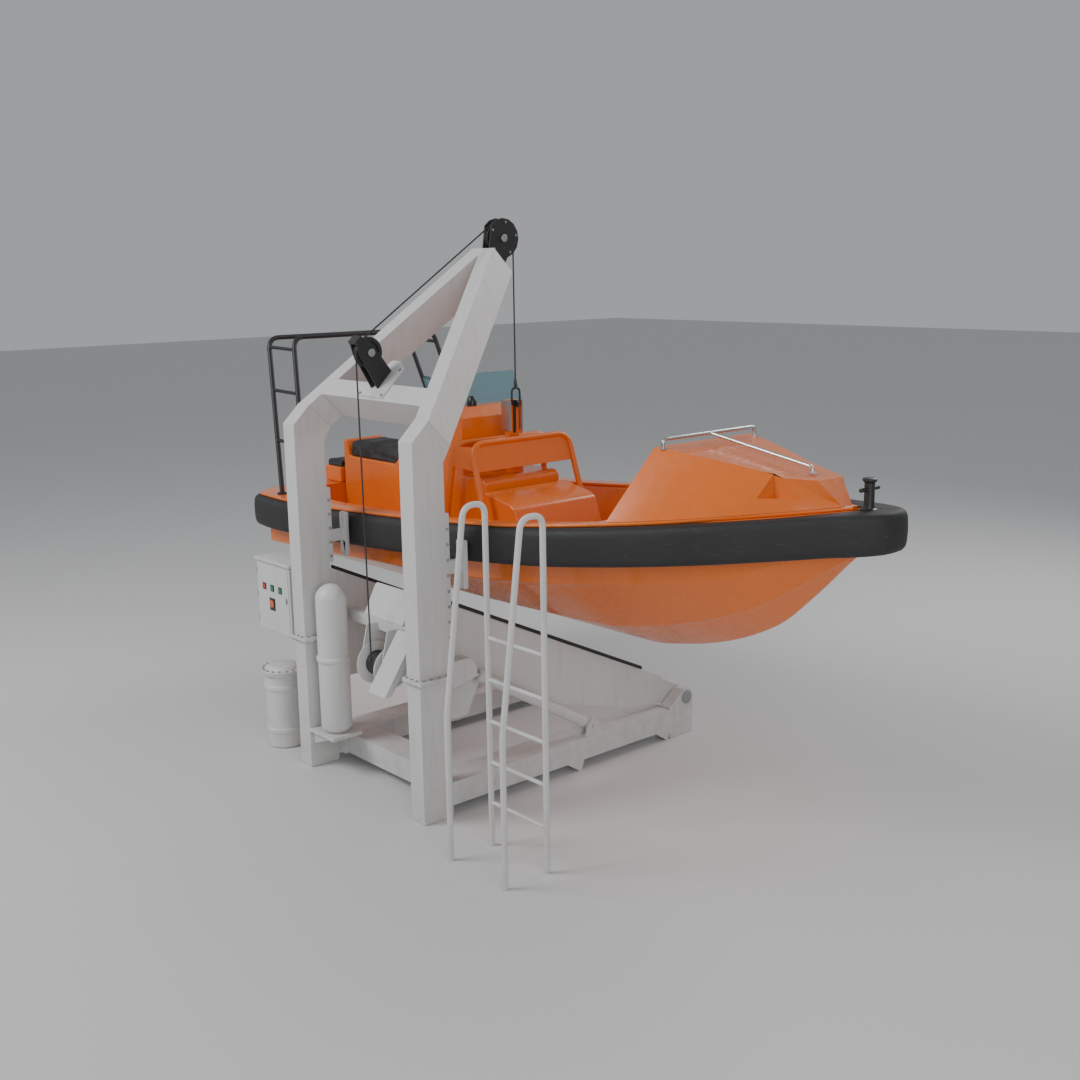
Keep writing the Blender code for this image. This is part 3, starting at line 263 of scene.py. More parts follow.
def painted_steel(name, colour, rough=0.45, grime=0.35, worn=(0.30, 0.29, 0.28), peel=0.0002):
    """Sprayed paint: cloudy tone and fine grain, dust near the deck, streaks, rubbed edges, orange peel."""
    f = Finish(name, colour)
    cloud = f.noise(2.2, 4.0)
    grain = f.noise(160.0, 2.0)
    streak = f.noise(7.0, 3.0, stretch=(3.0, 3.0, 0.35))
    dust = f.patches(f.height() + cloud * 0.5, 1.0, 0.15) * f.patches(f.noise(11.0, 4.0), 0.35, 0.75)
    dirt = (f.patches(streak, 0.52, 0.78) * 0.5 + dust) * grime
    tone = f.blend(cloud * 0.4 + grain * 0.35, tuple(c * 0.90 for c in f.colour[:3]) + (1.0,), f.colour)
    tone = f.blend(dirt, tone, (colour[0] * 0.42, colour[1] * 0.40, colour[2] * 0.36, 1.0))
    rubbed = f.patches(f.edges(0.006) * f.patches(f.noise(38.0, 3.0), 0.42, 0.62), 0.05, 0.30)
    f.set("Base Color", f.blend(rubbed * 0.7, tone, (*worn, 1.0)))
    f.set("Roughness", rough + f.patches(cloud, 0.3, 0.7) * 0.08 + dirt * 0.25)
    f.bump(f.noise(240.0, 1.0) + grain * 0.6, peel)
    return f.material


def gelcoat(name, colour, rough=0.24, coat=0.35):
    """Polished fibreglass gelcoat: faint fading, hand-rubbed haze, scuffs, slight print-through."""
    f = Finish(name, colour)
    cloud = f.noise(1.6, 3.0)
    scuff = f.patches(f.noise(26.0, 5.0, stretch=(0.5, 1.6, 1.6)), 0.60, 0.72)
    tone = f.blend(cloud, tuple(c * 0.90 for c in colour) + (1.0,), tuple(min(1.0, c * 1.06) for c in colour) + (1.0,))
    f.set("Base Color", f.blend(scuff * 0.22, tone, tuple(c * 0.62 for c in colour) + (1.0,)))
    f.set("Roughness", rough + f.patches(f.noise(9.0, 4.0), 0.4, 0.7) * 0.10 + scuff * 0.18)
    f.shader.inputs["Coat Roughness"].default_value = 0.12
    f.set("Coat Weight", coat)
    f.bump(f.noise(5.0, 2.0) * 3.0 + f.noise(90.0, 2.0) * 0.25, 0.0004)
    return f.material


def rubber(name, colour=(0.017, 0.017, 0.018), rough=0.58):
    """Foam skin: pebbled matt rubber with grey rub marks and dry salt in places."""
    f = Finish(name, colour)
    pebble = f.add("ShaderNodeTexVoronoi", {"feature": "SMOOTH_F1"}, {"Vector": f.place, "Scale": 260.0})
    cloud = f.noise(3.0, 4.0)
    mark = f.patches(f.noise(30.0, 5.0, stretch=(0.35, 0.35, 2.2)), 0.60, 0.74)
    tone = f.blend(cloud, tuple(c * 0.75 for c in colour) + (1.0,), tuple(c * 1.7 for c in colour) + (1.0,))
    f.set("Base Color", f.blend(mark * 0.35, tone, (0.075, 0.073, 0.07, 1.0)))
    f.set("Roughness", rough + cloud * 0.16 - mark * 0.06)
    f.bump(pebble * 0.6 + f.noise(600.0, 1.0) * 0.3, 0.0004)
    return f.material


def metal(name, colour, rough=0.25, brushed=(1.0, 1.0, 14.0)):
    """Bare metal: drawn grain along one way, cloudy tarnish, fine scratches."""
    f = Finish(name, colour, rough, 1.0)
    grain = f.noise(60.0, 4.0, stretch=brushed)
    cloud = f.noise(8.0, 3.0)
    f.set("Base Color", f.blend(cloud * 0.6 + grain * 0.2, f.colour, tuple(c * 0.72 for c in colour) + (1.0,)))
    f.set("Roughness", rough + grain * 0.14 + f.patches(cloud, 0.5, 0.8) * 0.12)
    f.bump(grain, 0.00006)
    return f.material


def vinyl(name, colour=(0.016, 0.016, 0.017)):
    """Coated fabric: leather grain of small cells over a fine weave, worn where it is sat on."""
    f = Finish(name, colour)
    cell = f.add("ShaderNodeTexVoronoi", {"feature": "DISTANCE_TO_EDGE"}, {"Vector": f.place, "Scale": 420.0})
    wear = f.noise(14.0, 4.0)
    f.set("Base Color", f.blend(f.patches(wear, 0.45, 0.8), f.colour, (0.045, 0.044, 0.043, 1.0)))
    f.set("Roughness", 0.42 + wear * 0.22)
    f.bump(f.patches(cell, 0.0, 0.25) + f.noise(900.0, 1.0) * 0.2, 0.0003)
    return f.material


def tinted_screen(name):
    """Clear tinted sheet: blue-green, a little milky, with dried spray."""
    f = Finish(name, (0.10, 0.30, 0.36), 0.06)
    spray = f.patches(f.noise(70.0, 5.0), 0.60, 0.75)
    f.set("Base Color", f.blend(spray * 0.3, f.colour, (0.45, 0.55, 0.58, 1.0)))
    f.set("Roughness", 0.05 + spray * 0.25)
    f.set("Alpha", 0.42 + spray * 0.12)
    f.shader.inputs["IOR"].default_value = 1.49
    return f.material


def twisted_rope(name, colour, rough, metallic, pitch):
    """Laid rope: the lay shows through its shape, so this adds grease or soil between the strands."""
    f = Finish(name, colour, rough, metallic)
    soil = f.noise(pitch, 4.0)
    f.set("Base Color", f.blend(f.patches(soil, 0.35, 0.8), f.colour, tuple(c * 0.45 for c in colour) + (1.0,)))
    f.set("Roughness", rough + soil * 0.2)
    f.bump(f.noise(900.0, 2.0), 0.0003)
    return f.material


def lens(name, colour):
    """Moulded push button: clear glossy plastic over a bright colour, finger-dulled."""
    f = Finish(name, colour)
    dull = f.noise(120.0, 3.0)
    f.set("Base Color", f.shade(f.patches(dull, 0.45, 0.8), 0.7))
    f.set("Roughness", 0.22 + dull * 0.2)
    f.bump(dull, 0.0001)
    return f.material


WHITE = painted_steel("davit_paint", (0.66, 0.66, 0.65))
LIGHT = painted_steel("tank_paint", (0.70, 0.70, 0.69), rough=0.34, grime=0.25, peel=0.00015)
BLACK = painted_steel("black_paint", (0.022, 0.022, 0.024), rough=0.38, grime=0.5, worn=(0.16, 0.15, 0.15))
GREY = painted_steel("engine_paint", (0.20, 0.22, 0.24), rough=0.5, grime=0.6)
ORANGE = gelcoat("orange_gelcoat", (0.80, 0.165, 0.012))
TUBE = painted_steel("orange_tube_paint", (0.80, 0.17, 0.015), rough=0.30, grime=0.3, worn=(0.45, 0.12, 0.03))
FOAM = rubber("fender_rubber")
PROFILE_RUBBER = rubber("cradle_rubber", (0.022, 0.022, 0.023), 0.65)
STAINLESS = metal("polished_stainless", (0.62, 0.63, 0.64), 0.16)
CHROME = metal("chromed_rod", (0.70, 0.71, 0.72), 0.10)
ZINC = metal("galvanised_bolts", (0.45, 0.46, 0.46), 0.42)
WIRE = twisted_rope("greased_wire", (0.10, 0.10, 0.105), 0.38, 0.8, 160.0)
VINYL = vinyl("black_vinyl")
SCREEN = tinted_screen("tinted_screen")
RED = lens("red_button", (0.55, 0.02, 0.015))
GREEN = lens("green_button", (0.02, 0.20, 0.07))
AMBER = lens("amber_button", (0.75, 0.13, 0.02))
DARK = lens("black_plastic", (0.02, 0.02, 0.022))


# Surfaces. Each shape is a pair: an array of points, and a list of arrays of corner numbers.

def lattice(points, close_rows=False, close_columns=False, caps=False):
    """Quads between neighbours on a grid of points (rows, columns, 3), with the ends closed if caps."""
    rows, columns = points.shape[:2]
    r = np.arange(rows if close_rows else rows - 1)[:, None]
    c = np.arange(columns if close_columns else columns - 1)[None, :]
    r2, c2 = (r + 1) % rows, (c + 1) % columns
    quads = np.stack([r * columns + c, r * columns + c2, r2 * columns + c2, r2 * columns + c], -1).reshape(-1, 4)
    faces = [quads]
    if caps:
        ring = np.arange(columns)[None, :]
        faces += [ring[:, ::-1], ring + (rows - 1) * columns]
    return points.reshape(-1, 3), faces


def soften(corners, reach, steps=3):
    """Polylines (..., corners, 3) with each inner corner turned into a parabola that starts and ends
    reach away from it, or 45% of the way to its neighbour where that is nearer."""
    reach = np.broadcast_to(np.asarray(reach, float), (corners.shape[-2] - 2,))[:, None]
    here, before, after = corners[..., 1:-1, :], corners[..., :-2, :], corners[..., 2:, :]

    def toward(other):
        run = other - here
        length = np.linalg.norm(run, axis=-1, keepdims=True) + 1e-9
        return here + run * np.minimum(reach / length, 0.45)
    a, b = toward(before), toward(after)
    t = np.linspace(0, 1, steps + 1)[:, None]
    arcs = ((1 - t) ** 2 * a[..., None, :] + 2 * t * (1 - t) * here[..., None, :] + t ** 2 * b[..., None, :])
    arcs = arcs.reshape(*corners.shape[:-2], -1, 3)
    return np.concatenate((corners[..., :1, :], arcs, corners[..., -1:, :]), axis=-2)


def soften_ring(corners, reach, steps=3):
    """As soften, for closed loops."""
    looped = np.concatenate((corners[..., -1:, :], corners, corners[..., :1, :]), axis=-2)
    return soften(looped, reach, steps)[..., 1:-1, :]


def bent(corners, radius, steps=8):
    """Centre line of a bent tube: straight runs joined by parabolic bends near the given radius."""
    return soften(np.asarray(corners, float), radius, steps)


def tube(path, radius, sides=16, closed=False, turn=0.0):
    """Circle carried along a path, held square to it, with its zero turned to the one direction that
    the path runs least along; radius may change along the path. Ends are closed."""
    path = np.asarray(path, float)
    if closed:
        run = np.roll(path, -1, 0) - np.roll(path, 1, 0)
    else:
        run = np.gradient(path, axis=0)
    run /= np.linalg.norm(run, axis=1, keepdims=True)
    least = np.linalg.svd(run, full_matrices=True)[2][-1]
    side = np.cross(run, least)
    side /= np.linalg.norm(side, axis=1, keepdims=True)
    up = np.cross(run, side)
    a = np.linspace(0, 2 * math.pi, sides, endpoint=False) + turn
    r = np.broadcast_to(np.asarray(radius, float), (len(path),))[:, None, None]
    ring = np.cos(a)[None, :, None] * side[:, None, :] + np.sin(a)[None, :, None] * up[:, None, :]
    return lattice(path[:, None, :] + r * ring, close_rows=closed, close_columns=True, caps=not closed)


def laid_wire(path, radius, pitch, strands=6, sides=24):
    """Wire rope: radius swells over each strand, and the strands advance round as it runs along."""
    path = np.asarray(path, float)
    points, faces = tube(path, 1.0, sides)
    step = np.linalg.norm(np.diff(path, axis=0), axis=1)
    along = np.concatenate(([0.0], np.cumsum(step)))[:, None]
    a = np.linspace(0, 2 * math.pi, sides, endpoint=False)[None, :]
    swell = 0.80 + 0.20 * np.abs(np.cos(strands / 2 * (a - 2 * math.pi * along / pitch)))
    centre = path[:, None, :]
    grid = points.reshape(len(path), sides, 3)
    return (centre + (grid - centre) * (radius * swell)[..., None]).reshape(-1, 3), faces


def lathe(profile, axis, centre, sides=48):
    """Profile of (radius, place along the axis) turned about an axis through centre; flat ends."""
    profile = np.asarray(profile, float)
    a = np.linspace(0, 2 * math.pi, sides, endpoint=False)
    u, v = profile[:, :1] * np.cos(a), profile[:, :1] * np.sin(a)
    along = np.broadcast_to(profile[:, 1:], u.shape)
    order = {"x": (along, u, v), "y": (u, along, v), "z": (u, v, along)}[axis]
    return lattice(np.stack(order, -1) + np.asarray(centre, float), close_columns=True, caps=True)


def between(start, end, profile, sides=32):
    """Profile of (radius, share of the way) turned about the line from start to end."""
    start, end = np.asarray(start, float), np.asarray(end, float)
    run = (end - start) / np.linalg.norm(end - start)
    side = np.cross(run, (0.0, 0.0, 1.0) if abs(run[2]) < 0.9 else (1.0, 0.0, 0.0))
    side /= np.linalg.norm(side)
    up = np.cross(run, side)
    a = np.linspace(0, 2 * math.pi, sides, endpoint=False)
    profile = np.asarray(profile, float)
    ring = np.cos(a)[:, None] * side + np.sin(a)[:, None] * up
    points = start + profile[:, 1, None, None] * run + profile[:, 0, None, None] * ring[None]
    return lattice(points, close_columns=True, caps=True)


def prism(outline, axis, low, high):
    """Outline in the other two axes, in their order, drawn out along axis from low to high."""
    outline = np.asarray(outline, float)
    rings = np.stack([np.insert(outline, "xyz".index(axis), value, axis=1) for value in (low, high)])
    return lattice(rings, close_columns=True, caps=True)


def brick(low, high):
    """Rectangular block between two corners."""
    (x0, y0, z0), (x1, y1, z1) = low, high
    return prism(((x0, y0), (x1, y0), (x1, y1), (x0, y1)), "z", z0, z1)


def placed(shape, places):
    """Copies of one shape at many places."""
    points, faces = shape
    places = np.asarray(places, float).reshape(-1, 3)
    many = (points[None] + places[:, None]).reshape(-1, 3)
    offsets = np.arange(len(places))[:, None, None] * len(points)
    return many, [(f[None] + offsets).reshape(-1, f.shape[1]) for f in faces]


def bolts(places, axis, size, head=0.6, sign=1):
    """Hexagon heads on washers, standing along axis at each place."""
    washer = lathe(((size * 1.15, 0.0), (size * 1.15, sign * size * 0.22)), axis, (0, 0, 0), 16)
    top = sign * size * (0.22 + head)
    cap = lathe(((size, sign * size * 0.2), (size, top - sign * size * 0.12), (size * 0.86, top)), axis, (0, 0, 0), 6)
    return merge(placed(washer, places), placed(cap, places))


def merge(*shapes):
    """Several shapes as one."""
    points, faces, count = [], [], 0
    for p, f in shapes:
        points.append(p)
        faces += [k + count for k in f]
        count += len(p)
    return np.concatenate(points), faces


def mirrored_boat(shape):
    """The shape and its mirror image across the boat's middle plane."""
    points, faces = shape
    twin = points * (1, -1, 1) + (0, 2 * BOAT_Y, 0)
    return merge(shape, (twin, [f[:, ::-1] for f in faces]))


def slope_point(s, n):
    """(y, z) of a point s along the arm's top face from its bend and n above that face."""
    return (s * math.cos(ARM_ANGLE) - n * math.sin(ARM_ANGLE), BEND_Z + s * math.sin(ARM_ANGLE) + n * math.cos(ARM_ANGLE))


def finished(obj, material, body, replaces=(), bevel=None, segments=2, sharp=35.0, weighted=True):
    """Gives a new object its shading, bevel and material, links it to the scene and its body, and hides the nodes it
    replaces.
    """
    mesh = obj.data
    mesh.materials.clear()
    mesh.materials.append(material)
    mesh.shade_smooth()
    if bevel:
        step = obj.modifiers.new("bevel", "BEVEL")
        step.width, step.segments, step.limit_method = bevel, segments, "ANGLE"
        step.angle_limit = math.radians(sharp)
        step.use_clamp_overlap = True
        if weighted:
            obj.modifiers.new("weighted", "WEIGHTED_NORMAL").keep_sharp = True
    else:
        mesh.set_sharp_from_angle(angle=math.radians(sharp))
    if obj.name not in bpy.context.scene.collection.objects:
        bpy.context.scene.collection.objects.link(obj)
    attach(obj, body)
    if replaces:
        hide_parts(*replaces)
    return obj


def piece(name, shape, material, body, replaces=(), merge_at=1e-5, **look):
    """New piece from a shape given in the davit's frame, its faces turned outward."""
    points, faces = shape
    mesh = bpy.data.meshes.new(name)
    mesh.from_pydata((points + SHIFT).tolist(), [], [tuple(row) for f in faces for row in f.tolist()])
    work = bmesh.new()
    work.from_mesh(mesh)
    bmesh.ops.remove_doubles(work, verts=work.verts, dist=merge_at)
    bmesh.ops.recalc_face_normals(work, faces=work.faces)
    work.to_mesh(mesh)
    work.free()
    return finished(bpy.data.objects.new(name, mesh), material, body, replaces, **look)


def dressed(node, material, bevel=0.004, segments=2, sharp=28.0, weld=1e-5):
    """Copy of a CAD node's mesh, joined up, with its flat faces made whole and its edges rounded.
    Corners nearer to each other than weld become one, so that no sliver holds the rounding back."""
    source = NODES[node]
    mesh = source.data.copy()
    mesh.name = node + "_dressed"
    work = bmesh.new()
    work.from_mesh(mesh)
    bmesh.ops.remove_doubles(work, verts=work.verts, dist=1e-5)
    bmesh.ops.dissolve_limit(work, angle_limit=math.radians(0.6), verts=work.verts, edges=work.edges)
    bmesh.ops.remove_doubles(work, verts=work.verts, dist=weld)
    work.to_mesh(mesh)
    work.free()
    obj = bpy.data.objects.new(mesh.name, mesh)
    return finished(obj, material, source["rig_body"], (node,), bevel, segments, sharp)


# Boat: hull, gunwale, fender, hood

def hull_shape():
    """Closed skin: for each station the section runs keel, strake, chine, side, top edge, down the
    cockpit wall to its floor and back on the other side; its corners are parabolas. The floor stands
    at the top edge outside the cockpit and drops over a short ramp at its ends."""
    ramp = 0.03
    x = np.unique(np.concatenate((np.linspace(-1.52, 4.20, 110), (WELL_AFT, WELL_AFT + ramp, WELL_FORE - ramp, WELL_FORE))))
    top = sheer(x)
    inside = np.clip(np.minimum(x - WELL_AFT, WELL_FORE - x) / ramp, 0, 1)
    floor = top + (FLOOR_Z - top) * inside
    low = curve_through(WELL[:, 0], WELL[:, 1], x)
    high = curve_through(WELL[:, 0], WELL[:, 2], x)
    side = station(SIDE_HALF, x)
    inner = np.minimum(low + (high - low) * (top - FLOOR_Z) / 0.45, side - 0.02)
    inner = np.where(inside > 0, inner, side * 0.8)
    low = np.where(inside > 0, low, side * 0.6)
    strake, strake_z = station(STRAKE_HALF, x), station(STRAKE_Z, x)
    half = np.array((x * 0, strake, strake + 0.022, station(CHINE_HALF, x), side, side, inner, low))
    z = np.array((station(KEEL_Z, x), strake_z, strake_z + 0.006, station(CHINE_Z, x), station(CHINE_Z, x) + 0.03,
                  top, top, floor))
    near = np.stack((np.broadcast_to(x, half.shape), BOAT_Y - half, z), -1).transpose(1, 0, 2)
    far = near[:, :0:-1] * (1, -1, 1) + (0, 2 * BOAT_Y, 0)
    loop = np.concatenate((near, far), axis=1)
    reach = np.array((0.03, 0.006, 0.006, 0.012, 0.012, 0.01, 0.02, 0.07))
    loop = soften_ring(loop, np.concatenate((reach, reach[:0:-1])), 4)
    return lattice(loop, close_columns=True, caps=True)


def strip_shape(x, outer, inner, low, high, corner):
    """Flat strip along the boat: a rounded box section from inner to outer half-breadth."""
    half = np.stack((inner, outer, outer, inner), 1)
    z = np.stack((low, low, high, high), 1)
    ring = np.stack((np.broadcast_to(x[:, None], half.shape), BOAT_Y - half, z), -1)
    return lattice(soften_ring(ring, corner, 3), close_columns=True, caps=True)


def gunwale_shape():
    """Side strips beside the cockpit, and the stern and fore decks as full-breadth boxes."""
    thick = 0.0245
    x = np.linspace(WELL_AFT, WELL_FORE, 60)
    top = sheer(x)
    edge = curve_through(WELL[:, 0], WELL[:, 1] + (WELL[:, 2] - WELL[:, 1]) * (sheer(WELL[:, 0]) - FLOOR_Z) / 0.45, x)
    outer = station(DECK_HALF, x)
    inner = np.minimum(edge, outer - 0.06)
    sides = mirrored_boat(strip_shape(x, outer, inner, top + 0.0005, top + thick, 0.011))
    fore = np.linspace(WELL_FORE, 4.195, 40)
    table = np.array(((-1.78, 0.30), (-1.74, 0.66), (-1.67, 0.90), (-1.60, 1.00), (-1.52, 1.06), (WELL_AFT, 1.07)))
    aft = np.linspace(-1.779, WELL_AFT, 24)
    decks = []
    for along, half in ((fore, station(DECK_HALF, fore)), (aft, curve_through(table[:, 0], table[:, 1], aft))):
        decks.append(strip_shape(along, half, -half, sheer(along) + 0.0005, sheer(along) + thick, 0.011))
    return merge(sides, *decks)


FENDER_OUTER = np.array(((-1.83, 0.0), (-1.82, 0.36), (-1.78, 0.72), (-1.70, 0.98), (-1.62, 1.08), (-1.52, 1.12), (-0.90, 1.19),
                         (0.0, 1.19), (0.90, 1.19), (1.40, 1.188), (1.90, 1.172), (2.40, 1.125), (2.85, 1.015), (3.20, 0.895),
                         (3.60, 0.715), (3.90, 0.54), (4.20, 0.36), (4.385, 0.258), (4.475, 0.17), (4.522, 0.075), (4.529, 0.0)))
FENDER_INNER = np.array(((-1.522, 0.0), (-1.522, 0.36), (-1.522, 0.72), (-1.522, 0.98), (-1.522, 1.0), (-1.52, 1.005), (-0.90, 1.025),
                         (0.0, 1.045), (0.90, 1.045), (1.40, 1.045), (1.90, 1.02), (2.40, 0.95), (2.85, 0.84), (3.20, 0.72),
                         (3.60, 0.53), (3.90, 0.35), (4.20, 0.08), (4.235, 0.05), (4.25, 0.03), (4.258, 0.015), (4.26, 0.0)))


def fender_top(x):
    """Height of the fender's top: the sheer, level past the transom, rising evenly at the bow."""
    return np.where(x > 4.2, sheer(4.2) + 0.10 * (x - 4.2), sheer(x))


def fender_lines(count):
    """Outer and inner plan lines of the fender over one half, on smooth curves along its outer length."""
    step = np.linalg.norm(np.diff(FENDER_OUTER, axis=0), axis=1)
    along = np.concatenate(([0.0], np.cumsum(step)))
    s = np.linspace(0, along[-1], count)
    return [np.stack([curve_through(along, table[:, k], s) for k in (0, 1)], -1) for table in (FENDER_OUTER, FENDER_INNER)]


def fender_shape():
    """Closed foam collar: a box section with wide round outer corners and a slightly full face,
    carried along the smooth outer plan line, its inner edge on the inner line."""
    height = 0.27
    outer, inner = fender_lines(170)
    rows = np.concatenate((np.stack((outer, inner), 1), np.stack((outer, inner), 1)[-2:0:-1] * (1, -1)))
    out, back = rows[:, 0], rows[:, 1]
    run = back - out
    width = np.linalg.norm(run, axis=1, keepdims=True)
    inset = run / width * 0.012
    top = fender_top(out[:, 0])
    back_top = fender_top(back[:, 0])
    plan = (back, out + inset, out, out + inset, back)
    depth = (0.0, 0.0, height / 2, height, height)
    ring = [np.concatenate((p * (1, -1) + (0, BOAT_Y), (t - d)[:, None]), 1)
            for p, d, t in zip(plan, depth, (back_top, top, top, top, back_top))]
    ring = soften_ring(np.stack(ring, 1), (0.006, 0.058, 0.10, 0.058, 0.006), 5)
    return lattice(ring, close_rows=True, close_columns=True)


piece("hull_shell", hull_shape(), ORANGE, "boat", ("hull",), sharp=50)
piece("gunwale_moulding", gunwale_shape(), ORANGE, "boat", ("gunwale_deck",), sharp=40)
piece("foam_fender", fender_shape(), FOAM, "boat", ("fender",), sharp=60)
dressed("foredeck_hood", ORANGE, 0.012, 3, weld=0.03)


def hood_rail_shape():
    """Cross rail over the hood's aft crest and the rail down its middle, with round foot plates."""
    y0, y1, z = BOAT_Y - 0.475, BOAT_Y + 0.475, 2.7847
    bar = bent([(2.965, y0, z - 0.004), (2.965, y0, z + 0.06), (2.965, y1, z + 0.06), (2.965, y1, z - 0.004)], 0.035)
    spine = bent([(2.965, BOAT_Y, z + 0.06), (3.845, BOAT_Y, 2.70), (3.85, BOAT_Y, 2.6585)], 0.03)
    feet = [lathe(((0.026, z - 0.006), (0.026, z + 0.001), (0.017, z + 0.004)), "z", (2.965, y, 0), 24) for y in (y0, y1)]
    feet.append(lathe(((0.026, 2.6586), (0.026, 2.663), (0.017, 2.666)), "z", (3.85, BOAT_Y, 0), 24))
    return merge(tube(bar, 0.0138), tube(spine, 0.0128), *feet)


def bollard_shape():
    """Bow bollard: flared foot, waisted post with a mushroom cap, and the bar through it."""
    base, x = float(sheer(4.2)), 4.292
    foot = float(fender_top(np.array(x)))
    post = lathe(((0.052, foot + 0.001), (0.052, foot + 0.008), (0.036, foot + 0.016), (0.033, foot + 0.03), (0.033, base + 0.185),
                  (0.040, base + 0.193), (0.046, base + 0.200), (0.046, base + 0.211), (0.040, base + 0.2149)), "z", (x, BOAT_Y, 0))
    bar = lathe(((0.008, -0.1), (0.013, -0.096), (0.013, 0.096), (0.008, 0.1)), "y", (x, BOAT_Y, base + 0.145), 20)
    return merge(post, bar)


piece("stainless_hood_rails", hood_rail_shape(), STAINLESS, "boat", ("hood_rails",))
piece("mooring_bollard", bollard_shape(), BLACK, "boat", ("bow_bollard",))


# Boat: console, screen, wheel, seats, engine casing

dressed("console", ORANGE, 0.018, 3)
dressed("helm_seat_base", ORANGE, 0.018, 3)
dressed("aft_seat_base", ORANGE, 0.014, 3)
dressed("engine_casing", ORANGE, 0.03, 4)
dressed("engine_hatch", ORANGE, 0.03, 4)
dressed("engine_block", GREY, 0.012)
dressed("windscreen", SCREEN, 0.003)
dressed("hook_post", ORANGE, 0.006)
dressed("hook_plates", STAINLESS, 0.002)
dressed("release_hook", BLACK, 0.002)


def wheel_shape():
    """Rim, three spokes and a domed hub, square to the column's lean."""
    centre, lean = np.array((-0.06, BOAT_Y, 2.60)), np.array((-0.75, 0.0, 0.66))
    lean /= np.linalg.norm(lean)
    across, up = np.array((0.0, 1.0, 0.0)), np.cross(lean, (0.0, 1.0, 0.0))

    def at(radius, angle):
        angle = np.asarray(angle)[..., None]
        return centre + radius * (across * np.cos(angle) + up * np.sin(angle))
    rim = tube(at(0.17, np.linspace(0, 2 * math.pi, 72, endpoint=False)), 0.0138, 14, closed=True)
    spokes = [tube([at(0.165, a), at(0.09, a) + lean * 0.004, at(0.015, a) + lean * 0.008], (0.008, 0.0095, 0.011), 10)
              for a in (math.radians(t) for t in (90, 210, 330))]
    hub = between(centre - lean * 0.055, centre + lean * 0.025,
                  ((0.030, 0.0), (0.034, 0.006), (0.034, 0.058), (0.028, 0.070), (0.014, 0.0785), (0.004, 0.08)))
    return merge(rim, hub, *spokes)


piece("helm_wheel", wheel_shape(), BLACK, "steering_wheel", ("steering_wheel",))
piece("compass_dome", lathe(((0.040, 2.8604), (0.040, 2.888), (0.037, 2.905), (0.031, 2.925), (0.020, 2.938), (0.006, 2.9445)), "z",
                            (0.435, BOAT_Y - 0.12, 0)), DARK, "boat", ("compass",))


# Boat: roll hoops, mast, lifting gear

def hoop_shape():
    """Two leaning roll hoops with round feet."""
    shapes = []
    for x_top, half_top, z_top, x_low, half_low in ((0.916, 0.516, 2.618, 1.206, 0.550), (0.673, 0.494, 2.599, 0.510, 0.525)):
        corners = [(x_low, BOAT_Y - half_low, FLOOR_Z + 0.008), (x_top, BOAT_Y - half_top, z_top),
                   (x_top, BOAT_Y + half_top, z_top), (x_low, BOAT_Y + half_low, FLOOR_Z + 0.008)]
        shapes.append(tube(bent(corners, 0.13, 12), 0.0248, 24))
        foot = lathe(((0.045, FLOOR_Z), (0.045, FLOOR_Z + 0.010), (0.030, FLOOR_Z + 0.018)), "z", (x_low, 0, 0), 32)
        shapes += [placed(foot, (0, BOAT_Y + s * half_low, 0)) for s in (-1, 1)]
    return merge(*shapes)


def hoop_panel_shape():
    """Sheet between the hoops at the sides, and across the forward hoop."""
    side = ((0.645, 2.42), (0.975, 2.40), (0.925, 2.595), (0.675, 2.58))
    sides = [prism(side, "y", BOAT_Y + s * 0.505 - 0.006, BOAT_Y + s * 0.505 + 0.006) for s in (-1, 1)]
    front = prism(((0.970, 2.40), (0.983, 2.40), (0.928, 2.60), (0.915, 2.60)), "y", BOAT_Y - 0.50, BOAT_Y + 0.50)
    return merge(front, *sides)


def mast_shape():
    """Two leaning goalposts joined by rungs, with round feet."""
    shapes = []
    for x_low, x_top, z_top in ((-1.27, -1.73, 3.38), (-0.86, -1.29, 3.40)):
        base = float(sheer(x_low)) + 0.033
        corners = [(x_low, BOAT_Y - 0.98, base), (x_top, BOAT_Y - 0.77, z_top), (x_top, BOAT_Y + 0.77, z_top),
                   (x_low, BOAT_Y + 0.98, base)]
        shapes.append(tube(bent(corners, 0.11, 12), 0.0218, 20))
        foot = lathe(((0.045, base - 0.0075), (0.045, base + 0.004), (0.028, base + 0.012)), "z", (x_low, 0, 0), 28)
        shapes += [placed(foot, (0, BOAT_Y + s * 0.98, 0)) for s in (-1, 1)]
    deck = float(sheer(-1.52)) + 0.025
    for z in (2.48, 2.92, 3.30):
        t = (z - deck) / (3.38 - deck)
        for s in (-1, 1):
            y = BOAT_Y + s * (0.98 - 0.21 * t)
            shapes.append(tube([(-1.27 - 0.46 * t, y, z), (-0.86 - 0.43 * t, y, z - 0.01)], 0.0158, 16))
    return merge(*shapes)


def ring_shape():
    """Oval lifting ring from round bar."""
    x, z = MID_X + 0.0015, 2.959
    corners = np.array([(x, BOAT_Y + u * 0.042, z + v * 0.068) for u, v in ((-1, -1), (1, -1), (1, 1), (-1, 1))])
    return tube(soften_ring(corners, 0.038, 8), 0.0083, 14, closed=True)


def drop_shape():
    """Fall wire from the head sheave to its swaged socket on the ring."""
    low = 2.959 + 0.068 + 0.0085
    z = np.arange(low + 0.062, HEAD_PIN[1] - 0.0005, 0.005)
    wire = laid_wire(np.stack((z * 0 + MID_X, z * 0 + HEAD_PIN[0] + HEAD_SHEAVE, z), -1), WIRE_RADIUS, 0.05)
    socket = lathe(((0.010, low), (0.0125, low + 0.004), (0.0128, low + 0.05), (0.0085, low + 0.068)), "z",
                   (MID_X, BOAT_Y, 0), 24)
    return merge(wire, socket)


